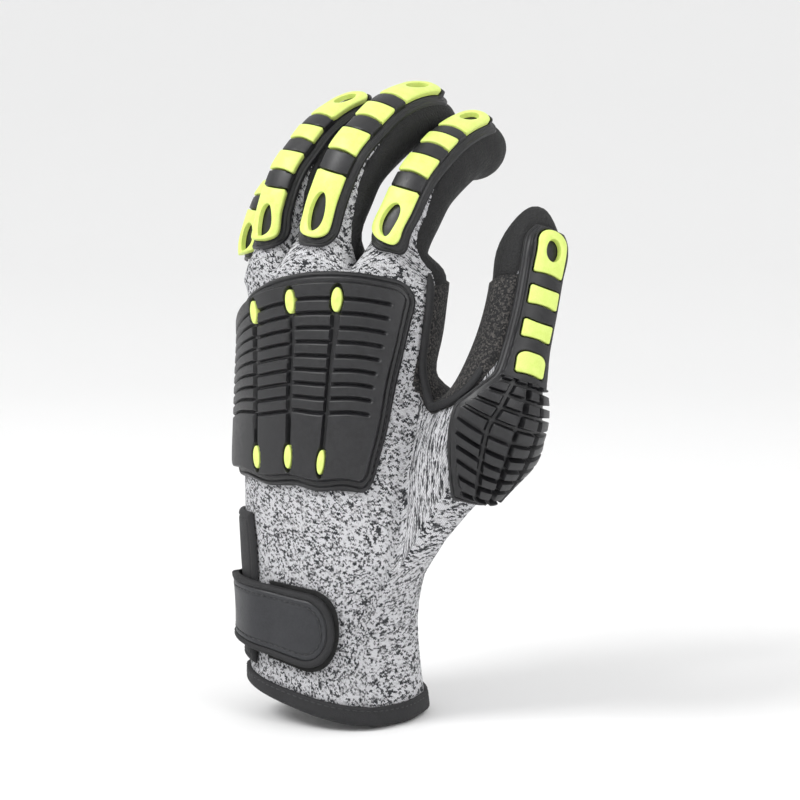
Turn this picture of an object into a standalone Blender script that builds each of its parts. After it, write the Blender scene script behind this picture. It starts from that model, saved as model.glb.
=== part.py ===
"""A left-hand impact glove, as worn: a knitted liner with a dipped palm and moulded rubber guards.

Metres, +Z up from the hem to the knuckles. The back of the hand faces -Y and the thumb lies towards +X.
The origin is the middle of the cuff's mouth. Every piece is laid on the liner's skin, a net of rings and
columns, so that it follows the liner when a size changes.
"""

import math
from collections import namedtuple

import bmesh
import bpy
from mathutils import Vector

MM = 0.001

# Driving sizes of the liner
CROTCH_HEIGHT = 162 * MM  # hem to the webs between the fingers
PALM_HALF_WIDTH = 46 * MM
PALM_HALF_DEPTH = 18.5 * MM
LITTLE_SIDE_ARCH = 27 * MM  # how far the hand's edges drop behind the middle knuckle
THUMB_SIDE_ARCH = 20 * MM
KNIT_WALL = 1.4 * MM
HEM_SLOPE = math.tan(math.radians(12))  # the mouth drops towards the thumb's side

# A cross-section of the palm tube. Its height is a share of CROTCH_HEIGHT, half_width and offset_x are
# shares of PALM_HALF_WIDTH, half_depth and offset_y of PALM_HALF_DEPTH, and arch of both arches.
Section = namedtuple("Section", "height half_width half_depth offset_x offset_y arch")
SECTIONS = [
    Section(0.000, 0.68, 1.58, 0.03, 0.00, 0.00),
    Section(0.170, 0.65, 1.46, 0.00, -0.01, 0.01),
    Section(0.305, 0.78, 1.33, 0.06, -0.06, 0.15),
    Section(0.415, 0.82, 1.24, 0.03, -0.08, 0.30),
    Section(0.515, 0.83, 1.18, -0.02, -0.08, 0.45),
    Section(0.620, 0.86, 1.12, -0.04, -0.06, 0.60),
    Section(0.730, 0.875, 1.06, -0.065, -0.04, 0.72),
    Section(0.830, 0.90, 1.02, -0.09, -0.01, 0.86),
    Section(0.930, 0.960, 0.96, -0.150, 0.00, 1.06),
]
ROOT = Section(1.000, 0.99, 0.90, -0.195, 0.00, 1.15)
BACK_COLUMNS = 16  # faces across the back, four to a finger
BACK_SHARE = 0.92  # share of the half width that those columns span
SQUARENESS = 2.5  # superellipse power of a section
ARCH_CREST = 0.13  # where the arch is highest, as a share of the half width towards the thumb
WEB_DIP = 6 * MM  # how far the skin dips between two fingers' roots
KNUCKLE_DROP = 7 * MM  # how much lower the little finger's root lies than the crest
KNUCKLE_SHARE = 0.5  # share of the height below which the sections are level

# A finger. lean and tilt turn its axis towards the thumb and the palm, and roll turns its back towards
# the thumb. It bends at its root and, at the places given as shares of its length, at two knuckles.
# Angles are in degrees, and swell is the first ring's size against the half width and half depth.
Finger = namedtuple(
    "Finger",
    "name length half_width half_depth swell lean tilt roll root_bend middle middle_bend end end_bend",
)
FINGERS = [
    Finger("little", 70 * MM, 9.2 * MM, 8.8 * MM, 1.00, 7, 4, -20, 6, 0.36, 34, 0.68, 20),
    Finger("ring", 87 * MM, 9.8 * MM, 9.6 * MM, 1.00, 8, 2, -8, 7, 0.36, 34, 0.68, 37),
    Finger("middle", 101 * MM, 9.9 * MM, 10.0 * MM, 1.00, 15, 2, 2, 6, 0.36, 46, 0.68, 42),
    Finger("index", 85 * MM, 9.9 * MM, 10.0 * MM, 1.00, 15, 0, 6, 22, 0.38, 36, 0.68, 27),
]
FINGER_SET_BACK = 7 * MM  # how far a finger's root lies from the middle of its loop, towards its back
THUMB = Finger("thumb", 100 * MM, 10.9 * MM, 10.6 * MM, 1.66, 48, -10, 64, 0, 0.24, 47, 0.60, 10)
SIDES = 12  # columns round a finger
STATIONS = 8  # rings along a finger
BACK_MIDDLE = 2  # the column along the middle of a finger's back
STEPS = 12  # short steps between two rings, along the finger's bent middle line
BEND_REACH = 0.26  # length over which one knuckle bends, as a share
SWELL_END = 0.6  # where the root's swell has faded, as a share of the length
TIP_START = 0.86  # where the rounding of the fingertip begins
TIP_LAST = 0.985  # the last ring before the flat tip

# The thumb leaves the thumb's side of the palm through a hole four rings tall.
THUMB_ROWS = (2, 6)
THUMB_ROOT = Vector((13, 3, 5)) * MM  # from the middle of the hole to the thumb's root

# Sizes of the pieces laid on the liner
GAP = 0.3 * MM  # between a piece and what it lies on
COATING = 0.8 * MM
VALLEY_FILL = 3.0  # how much thicker a layer lies in the webs between the fingers
DIP_RING = 6  # the thumb's ring from which the dip goes all round
WEB_COLUMNS = (6, 7, 8)  # of the thumb's net, which the web patch covers in full
WEB_SLANT = (9, 10, 11)  # of the thumb's net, where its lower edge steps up
PATCH = 1.1 * MM
BINDING_WALL = 1.2 * MM
BINDING_HEIGHT = 4.5 * MM

# Moulded strips on the fingers. Rows count the rings of a finger from its root, and columns are counted
# from the middle of its back.
STRIP_CLEARANCE = 0.5 * MM
STRIP_ROOT_LIFT = 0.9 * MM  # how much further it stands off at the finger's root
STRIP_FLANGE = 1.3 * MM  # thickness of the flat border
STRIP_FLOOR = 1.7 * MM  # thickness under an inlay
STRIP_BAR = 3.6 * MM  # thickness of the black bars between the inlays
STRIP_REACH = 1.6  # columns from the middle of the back to the strip's edge
STRIP_ROWS = (0.31, 6.92)
STRIP_BORDER = 0.22  # rows of flat border at a strip's ends
STRIP_CORNER = 0.50  # rows over which its ends are rounded
STRIP_END = 0.72  # share of the reach that is left at its very ends
BODY_FOOT = 1.12  # columns from the middle of the back to the foot of the raised body
WALL_RUN = 0.05  # rows that a pocket's end wall takes
INLAY_GAP = 0.9 * MM
INLAY_RISE = 0.5 * MM  # an inlay's top over the bars
INLAY_SIDE = 0.95  # columns from the middle of the back to an inlay's edge
INLAY_SHORT = 0.09  # rows that an inlay stays short of its pocket's ends
LOOP_HOLE = 0.42  # columns from the middle of the back to the edge of a loop's hole

# A pocket in a strip with the inlay it holds, in rows of the finger. A loop has a hole in its middle.
Pocket = namedtuple("Pocket", "name start end hole_start hole_end")
FINGER_POCKETS = [
    Pocket("loop", 0.64, 2.53, 1.06, 2.04),
    Pocket("block_1", 2.93, 3.60, 0, 0),
    Pocket("block_2", 4.00, 4.67, 0, 0),
    Pocket("tip_loop", 5.07, 6.62, 5.55, 6.25),
]
THUMB_POCKETS = [
    Pocket("block_1", 3.16, 3.82, 0, 0),
    Pocket("block_2", 4.22, 4.71, 0, 0),
    Pocket("block_3", 5.11, 5.64, 0, 0),
    Pocket("tip_loop", 6.00, 7.24, 6.40, 6.98),
]

# The thumb's guard widens into a ribbed pad over the thumb's root. A row of the thumb's net, with the
# columns of the pad's two edges there.
PadEdge = namedtuple("PadEdge", "row left right")
PAD_EDGES = [
    PadEdge(0.70, 1.30, 3.60),
    PadEdge(0.85, 0.80, 4.30),
    PadEdge(1.00, 0.35, 4.50),
    PadEdge(1.50, -0.30, 4.60),
    PadEdge(2.00, -0.75, 4.60),
    PadEdge(2.30, -0.45, 4.50),
    PadEdge(2.60, -0.15, 4.20),
    PadEdge(3.00, 0.45, 3.60),
]
THUMB_GUARD_END = 7.50
PAD_CLEARANCE = 1.6 * MM
PAD_RIBS = 7
PAD_BORDER = 0.10  # rows of flat border below the ribs
PAD_FOOT = 0.80  # share of the half width where the ribs' sloping flank begins
PAD_CROWN = 0.72
PAD_GROOVES = (-0.37, 0.0, 0.37)
PAD_GROOVE_WIDTH = (0.07, 0.06)  # half widths, as a share of the half width and in rows
PAD_RIB = 4.2 * MM
PAD_FLOOR = 2.2 * MM  # thickness left under a groove
PAD_UNDER = 4  # faces from the middle to an edge, on its underside
PAD_UNDER_ROWS = (1.25, 1.75)  # rows that its underside has besides those of its edges

# The back guard lies on the palm net, and heights are above the hem. Its grooves are placed by shares of
# its width from -1 to 1 and of its height from 0 to 1.
GUARD_BOTTOM = 78 * MM
GUARD_TO_WEBS = 3 * MM  # from the crest of its arched top edge up to the webs
GUARD_TOP = CROTCH_HEIGHT - GUARD_TO_WEBS
GUARD_BOW = 8.5 * MM  # drop of the top edge, for each half width away from its crest
GUARD_CREST = 0.45
GUARD_HEM_DROP = 1 * MM  # how far the bottom edge drops from the middle to the thumb's side
GUARD_MIDDLE = (9.7, 10.4)  # columns, at the bottom and at the top
GUARD_REACH = ((6.7, 7.2), (5.1, 5.9))  # columns from the middle to the little-finger and thumb edges
GUARD_CORNER = 7 * MM  # height over which its corners are rounded
GUARD_CORNER_CUT = (0.04, 0.13)  # share of the reach that a corner loses, on the two sides
GUARD_WAVE = 1.2 * MM  # of the wavy bottom edge
GUARD_CLEARANCE = 0.8 * MM
GUARD_FLANGE = 1.5 * MM
GUARD_BODY = 4.5 * MM
GUARD_FOLLOW = (-0.62, 0.70)  # places across where it also follows the hand's curve
GUARD_BORDER = 3.4 * MM  # width of the flat border
GUARD_SLOPE = 1.2 * MM  # run of the wall between the border and the body
GUARD_UNDER = 7  # faces from the middle to an edge, on its underside
GUARD_UNDER_LEVELS = (0, 0.07, 0.2, 0.33, 0.47, 0.6, 0.72, 0.84, 0.94, 1)
LONG_GROOVES = (-0.38, 0.0, 0.40)
LONG_GROOVE_SPAN = (0.135, 0.870)
CROSS_GROOVES = [LONG_GROOVE_SPAN[1] - 0.0645 * k for k in range(9)]
GROOVE_WIDTH = 1.9 * MM
GROOVE_DEPTH = 1.6 * MM
OVAL_LENGTH = 9 * MM
OVAL_WIDTH = 5 * MM
OVAL_DEPTH = 2.2 * MM  # of the recess that holds an oval
OVAL_SHRINK = 0.35 * MM
OVAL_RISE = 0.4 * MM
OVAL_SIDES = 10

# The wrist strap. Heights are along the net, above the hem, and columns are those of the palm net.
STRAP_BASE_COLUMNS = (-3, -1, 0, 1, 2, 3, 5)
STRAP_BASE_HEIGHTS = (9 * MM, 66 * MM)
STRAP_BASE_THICKNESS = 2.0 * MM
STRAP_CLEARANCE = 0.6 * MM
TAB_COLUMNS = (-0.8, 0, 1, 2, 3, 5, 7, 9)  # of its straight part, from the fold
TAB_END = 13.6  # column
TAB_HEIGHTS = (31 * MM, 26 * MM)  # of its middle line, at the fold and at the round end
TAB_WIDTH = 25.5 * MM
TAB_THICKNESS = 2.0 * MM
TAB_LIFT = (3.7 * MM, 1.9 * MM)  # of its underside, over the base and at the round end
TAB_SETTLE = (0.3, 3)  # columns beyond the base where it starts down, and over which it does
TAB_BINDING_WIDTH = 2.4 * MM
TAB_BINDING_THICKNESS = 2.8 * MM
HOOK_PAD_THICKNESS = 0.9 * MM
HOOK_PAD_LENGTH = 4.4  # columns
HOOK_PAD_PEEK = 1.6 * MM  # how far the hook pad shows beyond the round end
ROUND_STEPS = 6  # lengths of the round end

# Colours, as linear red, green and blue, with roughness
Finish = namedtuple("Finish", "name colour roughness")
KNIT = Finish("melange_knit", (0.46, 0.47, 0.49), 0.95)
DIP = Finish("sandy_nitrile", (0.012, 0.012, 0.013), 0.85)
RUBBER = Finish("moulded_rubber", (0.038, 0.038, 0.042), 0.5)
LIME = Finish("lime_rubber", (0.70, 0.86, 0.18), 0.45)
PATCH_CLOTH = Finish("patch_cloth", (0.035, 0.035, 0.036), 0.9)
TAPE = Finish("binding_tape", (0.016, 0.016, 0.017), 0.8)
LEATHER = Finish("strap_leather", (0.028, 0.029, 0.033), 0.42)
HOOK = Finish("hook_pad", (0.008, 0.008, 0.008), 0.95)


def smooth(value):
    """An S curve from 0 to 1."""
    value = min(1.0, max(0.0, value))
    return value * value * (3 - 2 * value)


def section_point(section, share, side):
    """A point of a palm section: share from -1 to 1 across, side -1 on the back and +1 on the palm."""
    half_width = section.half_width * PALM_HALF_WIDTH
    half_depth = section.half_depth * PALM_HALF_DEPTH
    bulge = side * half_depth * (1 - abs(share) ** SQUARENESS) ** (1 / SQUARENESS)
    drop = section.arch * (LITTLE_SIDE_ARCH if share < ARCH_CREST else THUMB_SIDE_ARCH)
    middle = Vector((section.offset_x * PALM_HALF_WIDTH + share * half_width,
                     section.offset_y * PALM_HALF_DEPTH + drop * (share - ARCH_CREST) ** 2))
    across = Vector((half_width, 2 * drop * (share - ARCH_CREST))).normalized()
    x, y = middle + Vector((-across.y, across.x)) * bulge
    z = section.height * CROTCH_HEIGHT - HEM_SLOPE * x * (1 - smooth(section.height * 4))
    rise = smooth((section.height - KNUCKLE_SHARE) / (1 - KNUCKLE_SHARE))
    z -= KNUCKLE_DROP * (share - ARCH_CREST) ** 2 * rise
    return Vector((x, y, z))


def even_points(section, side):
    """Points across the back or the palm, evenly spaced along the section's curve."""
    fine = 12 * BACK_COLUMNS
    shares = [BACK_SHARE * (2 * k / fine - 1) for k in range(fine + 1)]
    points = [section_point(section, share, side) for share in shares]
    run = [0.0]
    for a, b in zip(points, points[1:]):
        run.append(run[-1] + (b - a).length)
    chosen = []
    for j in range(BACK_COLUMNS + 1):
        goal = run[-1] * j / BACK_COLUMNS
        k = min(range(fine + 1), key=lambda i: abs(run[i] - goal))
        chosen.append(points[k])
    return chosen


def palm_ring(section):
    """The ring's points: little-finger side, back, thumb side, palm."""
    little_side, thumb_side = section_point(section, -1, 0), section_point(section, 1, 0)
    return [little_side, *even_points(section, -1), thumb_side, *even_points(section, 1)[::-1]]


def bend_at(finger, share):
    """How far the finger has bent, in degrees, at this share of its length."""
    bend = finger.root_bend
    bend += finger.middle_bend * smooth((share - finger.middle) / BEND_REACH + 0.5)
    return bend + finger.end_bend * smooth((share - finger.end) / BEND_REACH + 0.5)


def girth_at(finger, share):
    """The finger's size at this share of its length: swollen at its root, and round at its tip."""
    girth = 1 + (finger.swell - 1) * (1 - smooth(share / SWELL_END))
    tip = max(0.0, share - TIP_START) / (1 - TIP_START)
    return girth * math.sqrt(1 - tip * tip)


def finger_rings(finger, root):
    """Rings round a bent finger that starts at root."""
    lean, tilt, roll = (math.radians(angle) for angle in (finger.lean, finger.tilt, finger.roll))
    axis = Vector((math.tan(lean), math.tan(tilt), 1)).normalized()
    back = Vector((math.sin(roll), -math.cos(roll), 0))
    back = (back - axis * back.dot(axis)).normalized()
    side = axis.cross(back)
    step = TIP_LAST / (STATIONS * STEPS)
    centre = root.copy()
    rings = []
    for k in range(1, STATIONS * STEPS + 1):
        angle = math.radians(bend_at(finger, (k - 0.5) * step))
        centre += (axis * math.cos(angle) - back * math.sin(angle)) * finger.length * step
        if k % STEPS:
            continue
        angle = math.radians(bend_at(finger, k * step))
        outward = back * math.cos(angle) + axis * math.sin(angle)
        girth = girth_at(finger, k * step)
        turns = [math.radians(150 - 360 / SIDES * c) for c in range(SIDES)]
        rings.append(
            [
                centre
                + side * (math.cos(turn) * finger.half_width * girth)
                + outward * (math.sin(turn) * finger.half_depth * girth)
                for turn in turns
            ]
        )
    return rings


class Skin:
    """The liner's outer surface: points, faces, and the nets of indices that other pieces are laid on."""

    def __init__(self):
        self.points = []
        self.faces = []
        self.nets = {}
        self.normals = []
        self.valleys = []  # the points between two fingers, which a layer leaves upwards

    def add(self, points):
        first = len(self.points)
        self.points.extend(points)
        return list(range(first, first + len(points)))

    def join(self, low, high, skip=()):
        count = len(low)
        for c in range(count):
            if c not in skip:
                d = (c + 1) % count
                self.faces.append((low[c], low[d], high[d], high[c]))

    def find_normals(self):
        self.normals = [Vector() for _ in self.points]
        for corners in triangles(self.faces):
            a, b, c = (self.points[i] for i in corners)
            for i in corners:
                self.normals[i] += (b - a).cross(c - a)
        for normal in self.normals:
            normal.normalize()

    def lifted(self, i, lift):
        """The point lifted off the skin by an even layer, which fills the valleys between the fingers."""
        if i in self.valleys:
            lift *= VALLEY_FILL if lift > 0 else 1
            return self.points[i] + Vector((0, self.normals[i].y, 1)) * lift
        return self.points[i] + self.normals[i] * lift

    def at(self, net, row, column, lift):
        """The point over a net at a fractional row and column, lifted along the skin's normal."""
        rings = self.nets[net]
        r = min(max(int(math.floor(row)), 0), len(rings) - 2)
        c = int(math.floor(column))
        u, v = row - r, column - c
        count = len(rings[r])
        low_a, low_b = rings[r][c % count], rings[r][(c + 1) % count]
        high_a, high_b = rings[r + 1][c % count], rings[r + 1][(c + 1) % count]

        def blend(values):
            if v >= u:
                along = values[low_b] - values[low_a]
                return values[low_a] + along * v + (values[high_b] - values[low_b]) * u
            along = values[high_b] - values[high_a]
            return values[low_a] + along * v + (values[high_a] - values[low_a]) * u

        return blend(self.points) + blend(self.normals).normalized() * lift


def triangles(faces):
    """Faces cut into triangles, always from their first corner."""
    return [(f[0], f[k], f[k + 1]) for f in faces for k in range(1, len(f) - 1)]


def build_skin():
    skin = Skin()
    palm = [skin.add(palm_ring(section)) for section in SECTIONS]
    thumb_side = BACK_COLUMNS + 2
    low, high = THUMB_ROWS
    for row in range(len(palm) - 1):
        hole = (thumb_side - 1, thumb_side) if low <= row < high else ()
        skin.join(palm[row], palm[row + 1], hole)
    root = skin.add(palm_ring(ROOT))
    skin.join(palm[-1], root)
    palm.append(root)
    skin.nets["palm"] = palm

    back = root[1 : BACK_COLUMNS + 2]
    front = root[BACK_COLUMNS + 3 :][::-1]
    for edge in (back, front):
        for j, i in enumerate(edge):
            skin.points[i].z -= WEB_DIP * math.cos(math.pi * j / 4) ** 2
    webs = [root[0], 0, 0, 0, root[thumb_side]]
    for f in range(1, len(FINGERS)):
        middle = (skin.points[back[4 * f]] + skin.points[front[4 * f]]) / 2
        webs[f] = skin.add([middle])[0]
        skin.valleys += [back[4 * f], webs[f], front[4 * f]]
    for f, finger in enumerate(FINGERS):
        span = slice(4 * f, 4 * f + 5)
        loop = [*back[span], webs[f + 1], *front[span][::-1], webs[f]]
        roll = math.radians(finger.roll)
        add_finger(skin, finger, loop, Vector((math.sin(roll), -math.cos(roll), 0)) * FINGER_SET_BACK)

    back_edge = [palm[row][thumb_side - 1] for row in range(low, high + 1)]
    front_edge = [palm[row][thumb_side + 1] for row in range(low, high + 1)]
    loop = [back_edge[1], back_edge[0], palm[low][thumb_side], *front_edge]
    add_finger(skin, THUMB, [*loop, palm[high][thumb_side], *back_edge[:1:-1]], THUMB_ROOT)
    skin.find_normals()
    return skin


def add_finger(skin, finger, loop, offset):
    middle = sum((skin.points[i] for i in loop), Vector()) / SIDES
    net = [loop, *(skin.add(ring) for ring in finger_rings(finger, middle + offset))]
    for low, high in zip(net, net[1:]):
        skin.join(low, high)
    skin.faces.append(tuple(net[-1]))
    skin.nets[finger.name] = net


def add_piece(name, points, faces, finish):
    """A named object with its own material, made of points in metres and of triangles."""
    mesh = bpy.data.meshes.new(name)
    mesh.from_pydata([tuple(point) for point in points], [], triangles(faces))
    mesh.validate()
    material = bpy.data.materials.new(f"{name}_{finish.name}")
    material.use_nodes = True
    shader = material.node_tree.nodes["Principled BSDF"]
    shader.inputs["Base Color"].default_value = (*finish.colour, 1)
    shader.inputs["Roughness"].default_value = finish.roughness
    shader.inputs["Metallic"].default_value = 0
    mesh.materials.append(material)
    mesh.shade_smooth()
    mesh.set_sharp_from_angle(angle=math.radians(40))
    piece = bpy.data.objects.new(name, mesh)
    bpy.context.scene.collection.objects.link(piece)
    return piece


def wall(faces, low, high):
    """A closed wall: the faces between two layers of points, low[i] under high[i], and its rims."""
    edges = {(f[k], f[(k + 1) % len(f)]) for f in faces for k in range(len(f))}
    count = len(low)
    result = [tuple(i + count for i in f) for f in faces]
    result += [tuple(reversed(f)) for f in triangles(faces)]
    result += [(a, b, b + count, a + count) for a, b in edges if (b, a) not in edges]
    return [*low, *high], result


def add_layer(skin, name, faces, clearance, thickness, finish):
    """A layer of even thickness over some of the skin's faces."""
    used = sorted({i for face in faces for i in face})
    renumber = {i: n for n, i in enumerate(used)}
    low = [skin.lifted(i, clearance) for i in used]
    high = [skin.lifted(i, clearance + thickness) for i in used]
    faces = [tuple(renumber[i] for i in face) for face in triangles(faces)]
    add_piece(name, *wall(faces, low, high), finish)


def add_slab(name, under, over, finish, holes=()):
    """A closed slab between two grids of points, of the same rows and columns, with cells left out."""
    rows, columns = len(under), len(under[0])
    faces = []
    for r in range(rows - 1):
        for c in range(columns - 1):
            if (r, c) not in holes:
                i = r * columns + c
                faces.append((i, i + 1, i + columns + 1, i + columns))
    low = [point for row in under for point in row]
    high = [point for row in over for point in row]
    add_piece(name, *wall(triangles(faces), low, high), finish)


def zip_faces(low, high):
    """Triangles between two lines of (point, place), the first below the second."""
    faces = []
    i = j = 0
    while i < len(low) - 1 or j < len(high) - 1:
        low_next = low[i + 1][1] if i < len(low) - 1 else math.inf
        high_next = high[j + 1][1] if j < len(high) - 1 else math.inf
        if low_next <= high_next:
            faces.append((low[i][0], low[i + 1][0], high[j][0]))
            i += 1
        else:
            faces.append((low[i][0], high[j + 1][0], high[j][0]))
            j += 1
    return faces


def border(grids):
    """The points and places round stacked grids: thumb-side edge, top, little-finger side, bottom."""
    right = [(row[-1], place) for rows, _, along in grids for row, place in zip(rows, along)]
    left = [(row[0], -place) for rows, _, along in grids for row, place in zip(rows, along)][::-1]
    rows, across, _ = grids[-1]
    top = [(point, -place) for point, place in zip(rows[-1], across)][::-1]
    rows, across, _ = grids[0]
    bottom = list(zip(rows[0], across))
    return right, top, left, bottom


def add_moulding(name, under, over, finish):
    """A closed moulding between two surfaces whose rows and columns may differ.

    A surface is a stack of grids, and a grid is (points, places across, places along). The two surfaces
    share their four corners.
    """
    points = []
    faces = []
    borders = []
    for stack in (under, over):
        numbered = []
        cells = []
        for grid, across, along in stack:
            numbers = []
            for row in grid:
                numbers.append(list(range(len(points), len(points) + len(row))))
                points += row
            for low, high in zip(numbers, numbers[1:]):
                cells += [(low[c], low[c + 1], high[c + 1], high[c]) for c in range(len(low) - 1)]
            if numbered:
                rows, below, _ = numbered[-1]
                cells += zip_faces(list(zip(rows[-1], below)), list(zip(numbers[0], across)))
            numbered.append((numbers, across, along))
        cells = triangles(cells)
        faces += cells if borders else [tuple(reversed(f)) for f in cells]
        borders.append(border(numbered))
    for low, high in zip(*borders):
        faces += zip_faces(low, high)
    return add_piece(name, points, faces, finish)


def with_lines(values, low, high):
    """The values with every whole number between low and high added, so a grid follows the net's folds."""
    lines = [k for k in range(math.ceil(low + 0.05), math.floor(high - 0.05) + 1)]
    near = [k for k in lines if all(abs(k - value) > 0.04 for value in values)]
    return sorted([*values, *near])


def net_faces(skin, net, rows, columns):
    """Faces of a net, from each row and column to the next."""
    rings = skin.nets[net]
    count = len(rings[0])
    faces = []
    for r in rows:
        low, high = rings[r], rings[r + 1]
        for c in columns:
            d = (c + 1) % count
            faces.append((low[c % count], low[d], high[d], high[c % count]))
    return faces


def add_liner(skin):
    inside = [skin.lifted(i, -KNIT_WALL) for i in range(len(skin.points))]
    add_piece("knit_liner", *wall(triangles(skin.faces), inside, skin.points), KNIT)


def add_coating_and_patch(skin):
    """The dip covers the palm, the fronts and the tips of the fingers; the patch lines the thumb's web."""
    low, high = THUMB_ROWS
    side = BACK_COLUMNS + 2
    top = len(SECTIONS)
    palm_end = 2 * (BACK_COLUMNS + 2)
    patch = net_faces(skin, "palm", range(high, top - 1), (side - 1, side, side + 1))
    patch += net_faces(skin, "thumb", range(DIP_RING), WEB_COLUMNS)
    for step, column in enumerate(WEB_SLANT):
        patch += net_faces(skin, "thumb", range(step + 1, DIP_RING), (column,))
        low_edge, _, high_far, high_near = net_faces(skin, "thumb", (step,), (column,))[0]
        patch.append((low_edge, high_far, high_near))
    add_layer(skin, "web_patch", patch, GAP + COATING + GAP, PATCH, PATCH_CLOTH)

    dip = net_faces(skin, "palm", range(low + 1, high), range(side + 1, palm_end))
    dip += net_faces(skin, "palm", range(high, top - 1), range(side + 2, palm_end))
    dip += net_faces(skin, "palm", range(top - 1, top), range(side, palm_end))
    for finger in FINGERS:
        dip += net_faces(skin, finger.name, range(1), range(5, SIDES - 1))
        dip += net_faces(skin, finger.name, range(1, STATIONS - 1), range(4, SIDES))
        dip += net_faces(skin, finger.name, range(STATIONS - 1, STATIONS), range(SIDES))
        dip.append(tuple(skin.nets[finger.name][-1]))
    dip += net_faces(skin, "thumb", range(high - low), (5,))
    dip += net_faces(skin, "thumb", range(high - low, DIP_RING), (4, 5))
    dip += net_faces(skin, "thumb", range(DIP_RING, STATIONS), range(4, SIDES))
    dip.append(tuple(skin.nets["thumb"][-1]))
    add_layer(skin, "palm_coating", dip + patch, GAP, COATING, DIP)


def row_at(height):
    """The palm net's row at a height along the net above the hem."""
    heights = [section.height * CROTCH_HEIGHT for section in (*SECTIONS, ROOT)]
    for row in range(len(heights) - 1):
        if height < heights[row + 1]:
            break
    return row + (height - heights[row]) / (heights[row + 1] - heights[row])


def add_binding(skin):
    """A tape folded over the hem, from the outside to just inside the mouth."""
    top, edge, under = row_at(BINDING_HEIGHT), row_at(-GAP), row_at(-GAP - BINDING_WALL)
    inner = -KNIT_WALL
    outer = GAP + BINDING_WALL
    profile = [(top, GAP), (edge, GAP), (edge, inner), (under, inner), (under, outer), (top, outer)]
    columns = len(skin.nets["palm"][0])
    points = [skin.at("palm", row, c, lift) for c in range(columns) for row, lift in profile]
    count = len(profile)
    faces = []
    for c in range(columns):
        d = (c + 1) % columns
        for k in range(count):
            m = (k + 1) % count
            faces.append((c * count + k, d * count + k, d * count + m, c * count + m))
    add_piece("cuff_binding", points, faces, TAPE)


def corner(share):
    """A quarter circle's rise, from 0 at the very end to 1 where a rounded corner is over."""
    share = min(1.0, max(0.0, share))
    return math.sqrt(1 - (1 - share) ** 2)


def add_back_guard(skin):
    """The guard on the back of the hand, with long and cross grooves and six oval inlays."""
    height = GUARD_TOP - GUARD_BOTTOM
    row = row_at((GUARD_TOP + GUARD_BOTTOM) / 2)
    pitch = (skin.at("palm", row, GUARD_MIDDLE[0] + 1, 0) - skin.at("palm", row, GUARD_MIDDLE[0], 0)).length
    width = sum(GUARD_REACH[0] + GUARD_REACH[1]) / 2 * pitch
    round_share = GUARD_CORNER / height

    def place(across, along, lift):
        side = 0 if across < 0 else 1
        low, high = GUARD_REACH[side]
        reach = low + (high - low) * along
        reach *= 1 - GUARD_CORNER_CUT[side] * (1 - corner(min(along, 1 - along) / round_share))
        middle = GUARD_MIDDLE[0] + (GUARD_MIDDLE[1] - GUARD_MIDDLE[0]) * along
        top = GUARD_TOP - GUARD_BOW * (across - GUARD_CREST) ** 2
        bottom = GUARD_BOTTOM - GUARD_HEM_DROP * across + GUARD_WAVE * math.cos(3 * math.pi * across)
        row = row_at(bottom + (top - bottom) * along)
        return skin.at("palm", row, middle + reach * across, GUARD_CLEARANCE + lift)

    edge_across = 2 * GUARD_BORDER / width
    edge_along = GUARD_BORDER / height
    slope_across, slope_along = 2 * GUARD_SLOPE / width, GUARD_SLOPE / height
    half_across, half_along = GROOVE_WIDTH / width, GROOVE_WIDTH / 2 / height
    foot = 1 - edge_across
    crown = foot - slope_across
    across = [-1, -foot, -crown, *GUARD_FOLLOW, crown, foot, 1]
    for groove in LONG_GROOVES:
        across += [groove - half_across, groove, groove + half_across]
    along = [0, edge_along, edge_along + slope_along, 1 - edge_along - slope_along, 1 - edge_along, 1]
    along.append(LONG_GROOVE_SPAN[0])
    for groove in CROSS_GROOVES:
        along += [groove - half_along, groove, groove + half_along]
    across.sort()
    along.sort()

    def thickness(t, s):
        if abs(t) > crown or not edge_along + 0.001 < s < 1 - edge_along - 0.001:
            return GUARD_FLANGE
        in_long = t in LONG_GROOVES and LONG_GROOVE_SPAN[0] < s <= LONG_GROOVE_SPAN[1]
        in_cross = s in CROSS_GROOVES and abs(t) < crown
        return GUARD_BODY - (GROOVE_DEPTH if in_long or in_cross else 0)

    over = [[place(t, s, thickness(t, s)) for t in across] for s in along]
    coarse = [k / GUARD_UNDER for k in range(-GUARD_UNDER, GUARD_UNDER + 1)]
    levels = GUARD_UNDER_LEVELS
    under = [[place(t, s, 0) for t in coarse] for s in levels]
    guard = add_moulding("back_guard", [(under, coarse, levels)], [(over, across, along)], RUBBER)

    cutter_points, cutter_faces = [], []
    number = 0
    for share in (LONG_GROOVE_SPAN[0], LONG_GROOVE_SPAN[1]):
        for groove in LONG_GROOVES:
            number += 1
            floor = GUARD_BODY - OVAL_DEPTH
            base = place(groove, share, floor)
            up = (place(groove, share, floor + MM) - base).normalized()
            forward = place(groove, share + 0.01, floor) - base
            forward = (forward - up * forward.dot(up)).normalized()
            frame = (base, up, forward)
            points, faces = oval_prism(frame, 0, 2 * OVAL_DEPTH, 0)
            first = len(cutter_points)
            cutter_points += points
            cutter_faces += [tuple(i + first for i in face) for face in faces]
            prism = oval_prism(frame, GAP, OVAL_DEPTH + OVAL_RISE, OVAL_SHRINK)
            add_piece(f"back_inlay_{number}", *prism, LIME)
    cutter = add_piece("oval_recesses", cutter_points, cutter_faces, RUBBER)
    cutter.hide_render = True
    cutter.display_type = "WIRE"
    cut = guard.modifiers.new("oval_recesses", "BOOLEAN")
    cut.operation = "DIFFERENCE"
    cut.solver = "EXACT"
    cut.object = cutter


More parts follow.
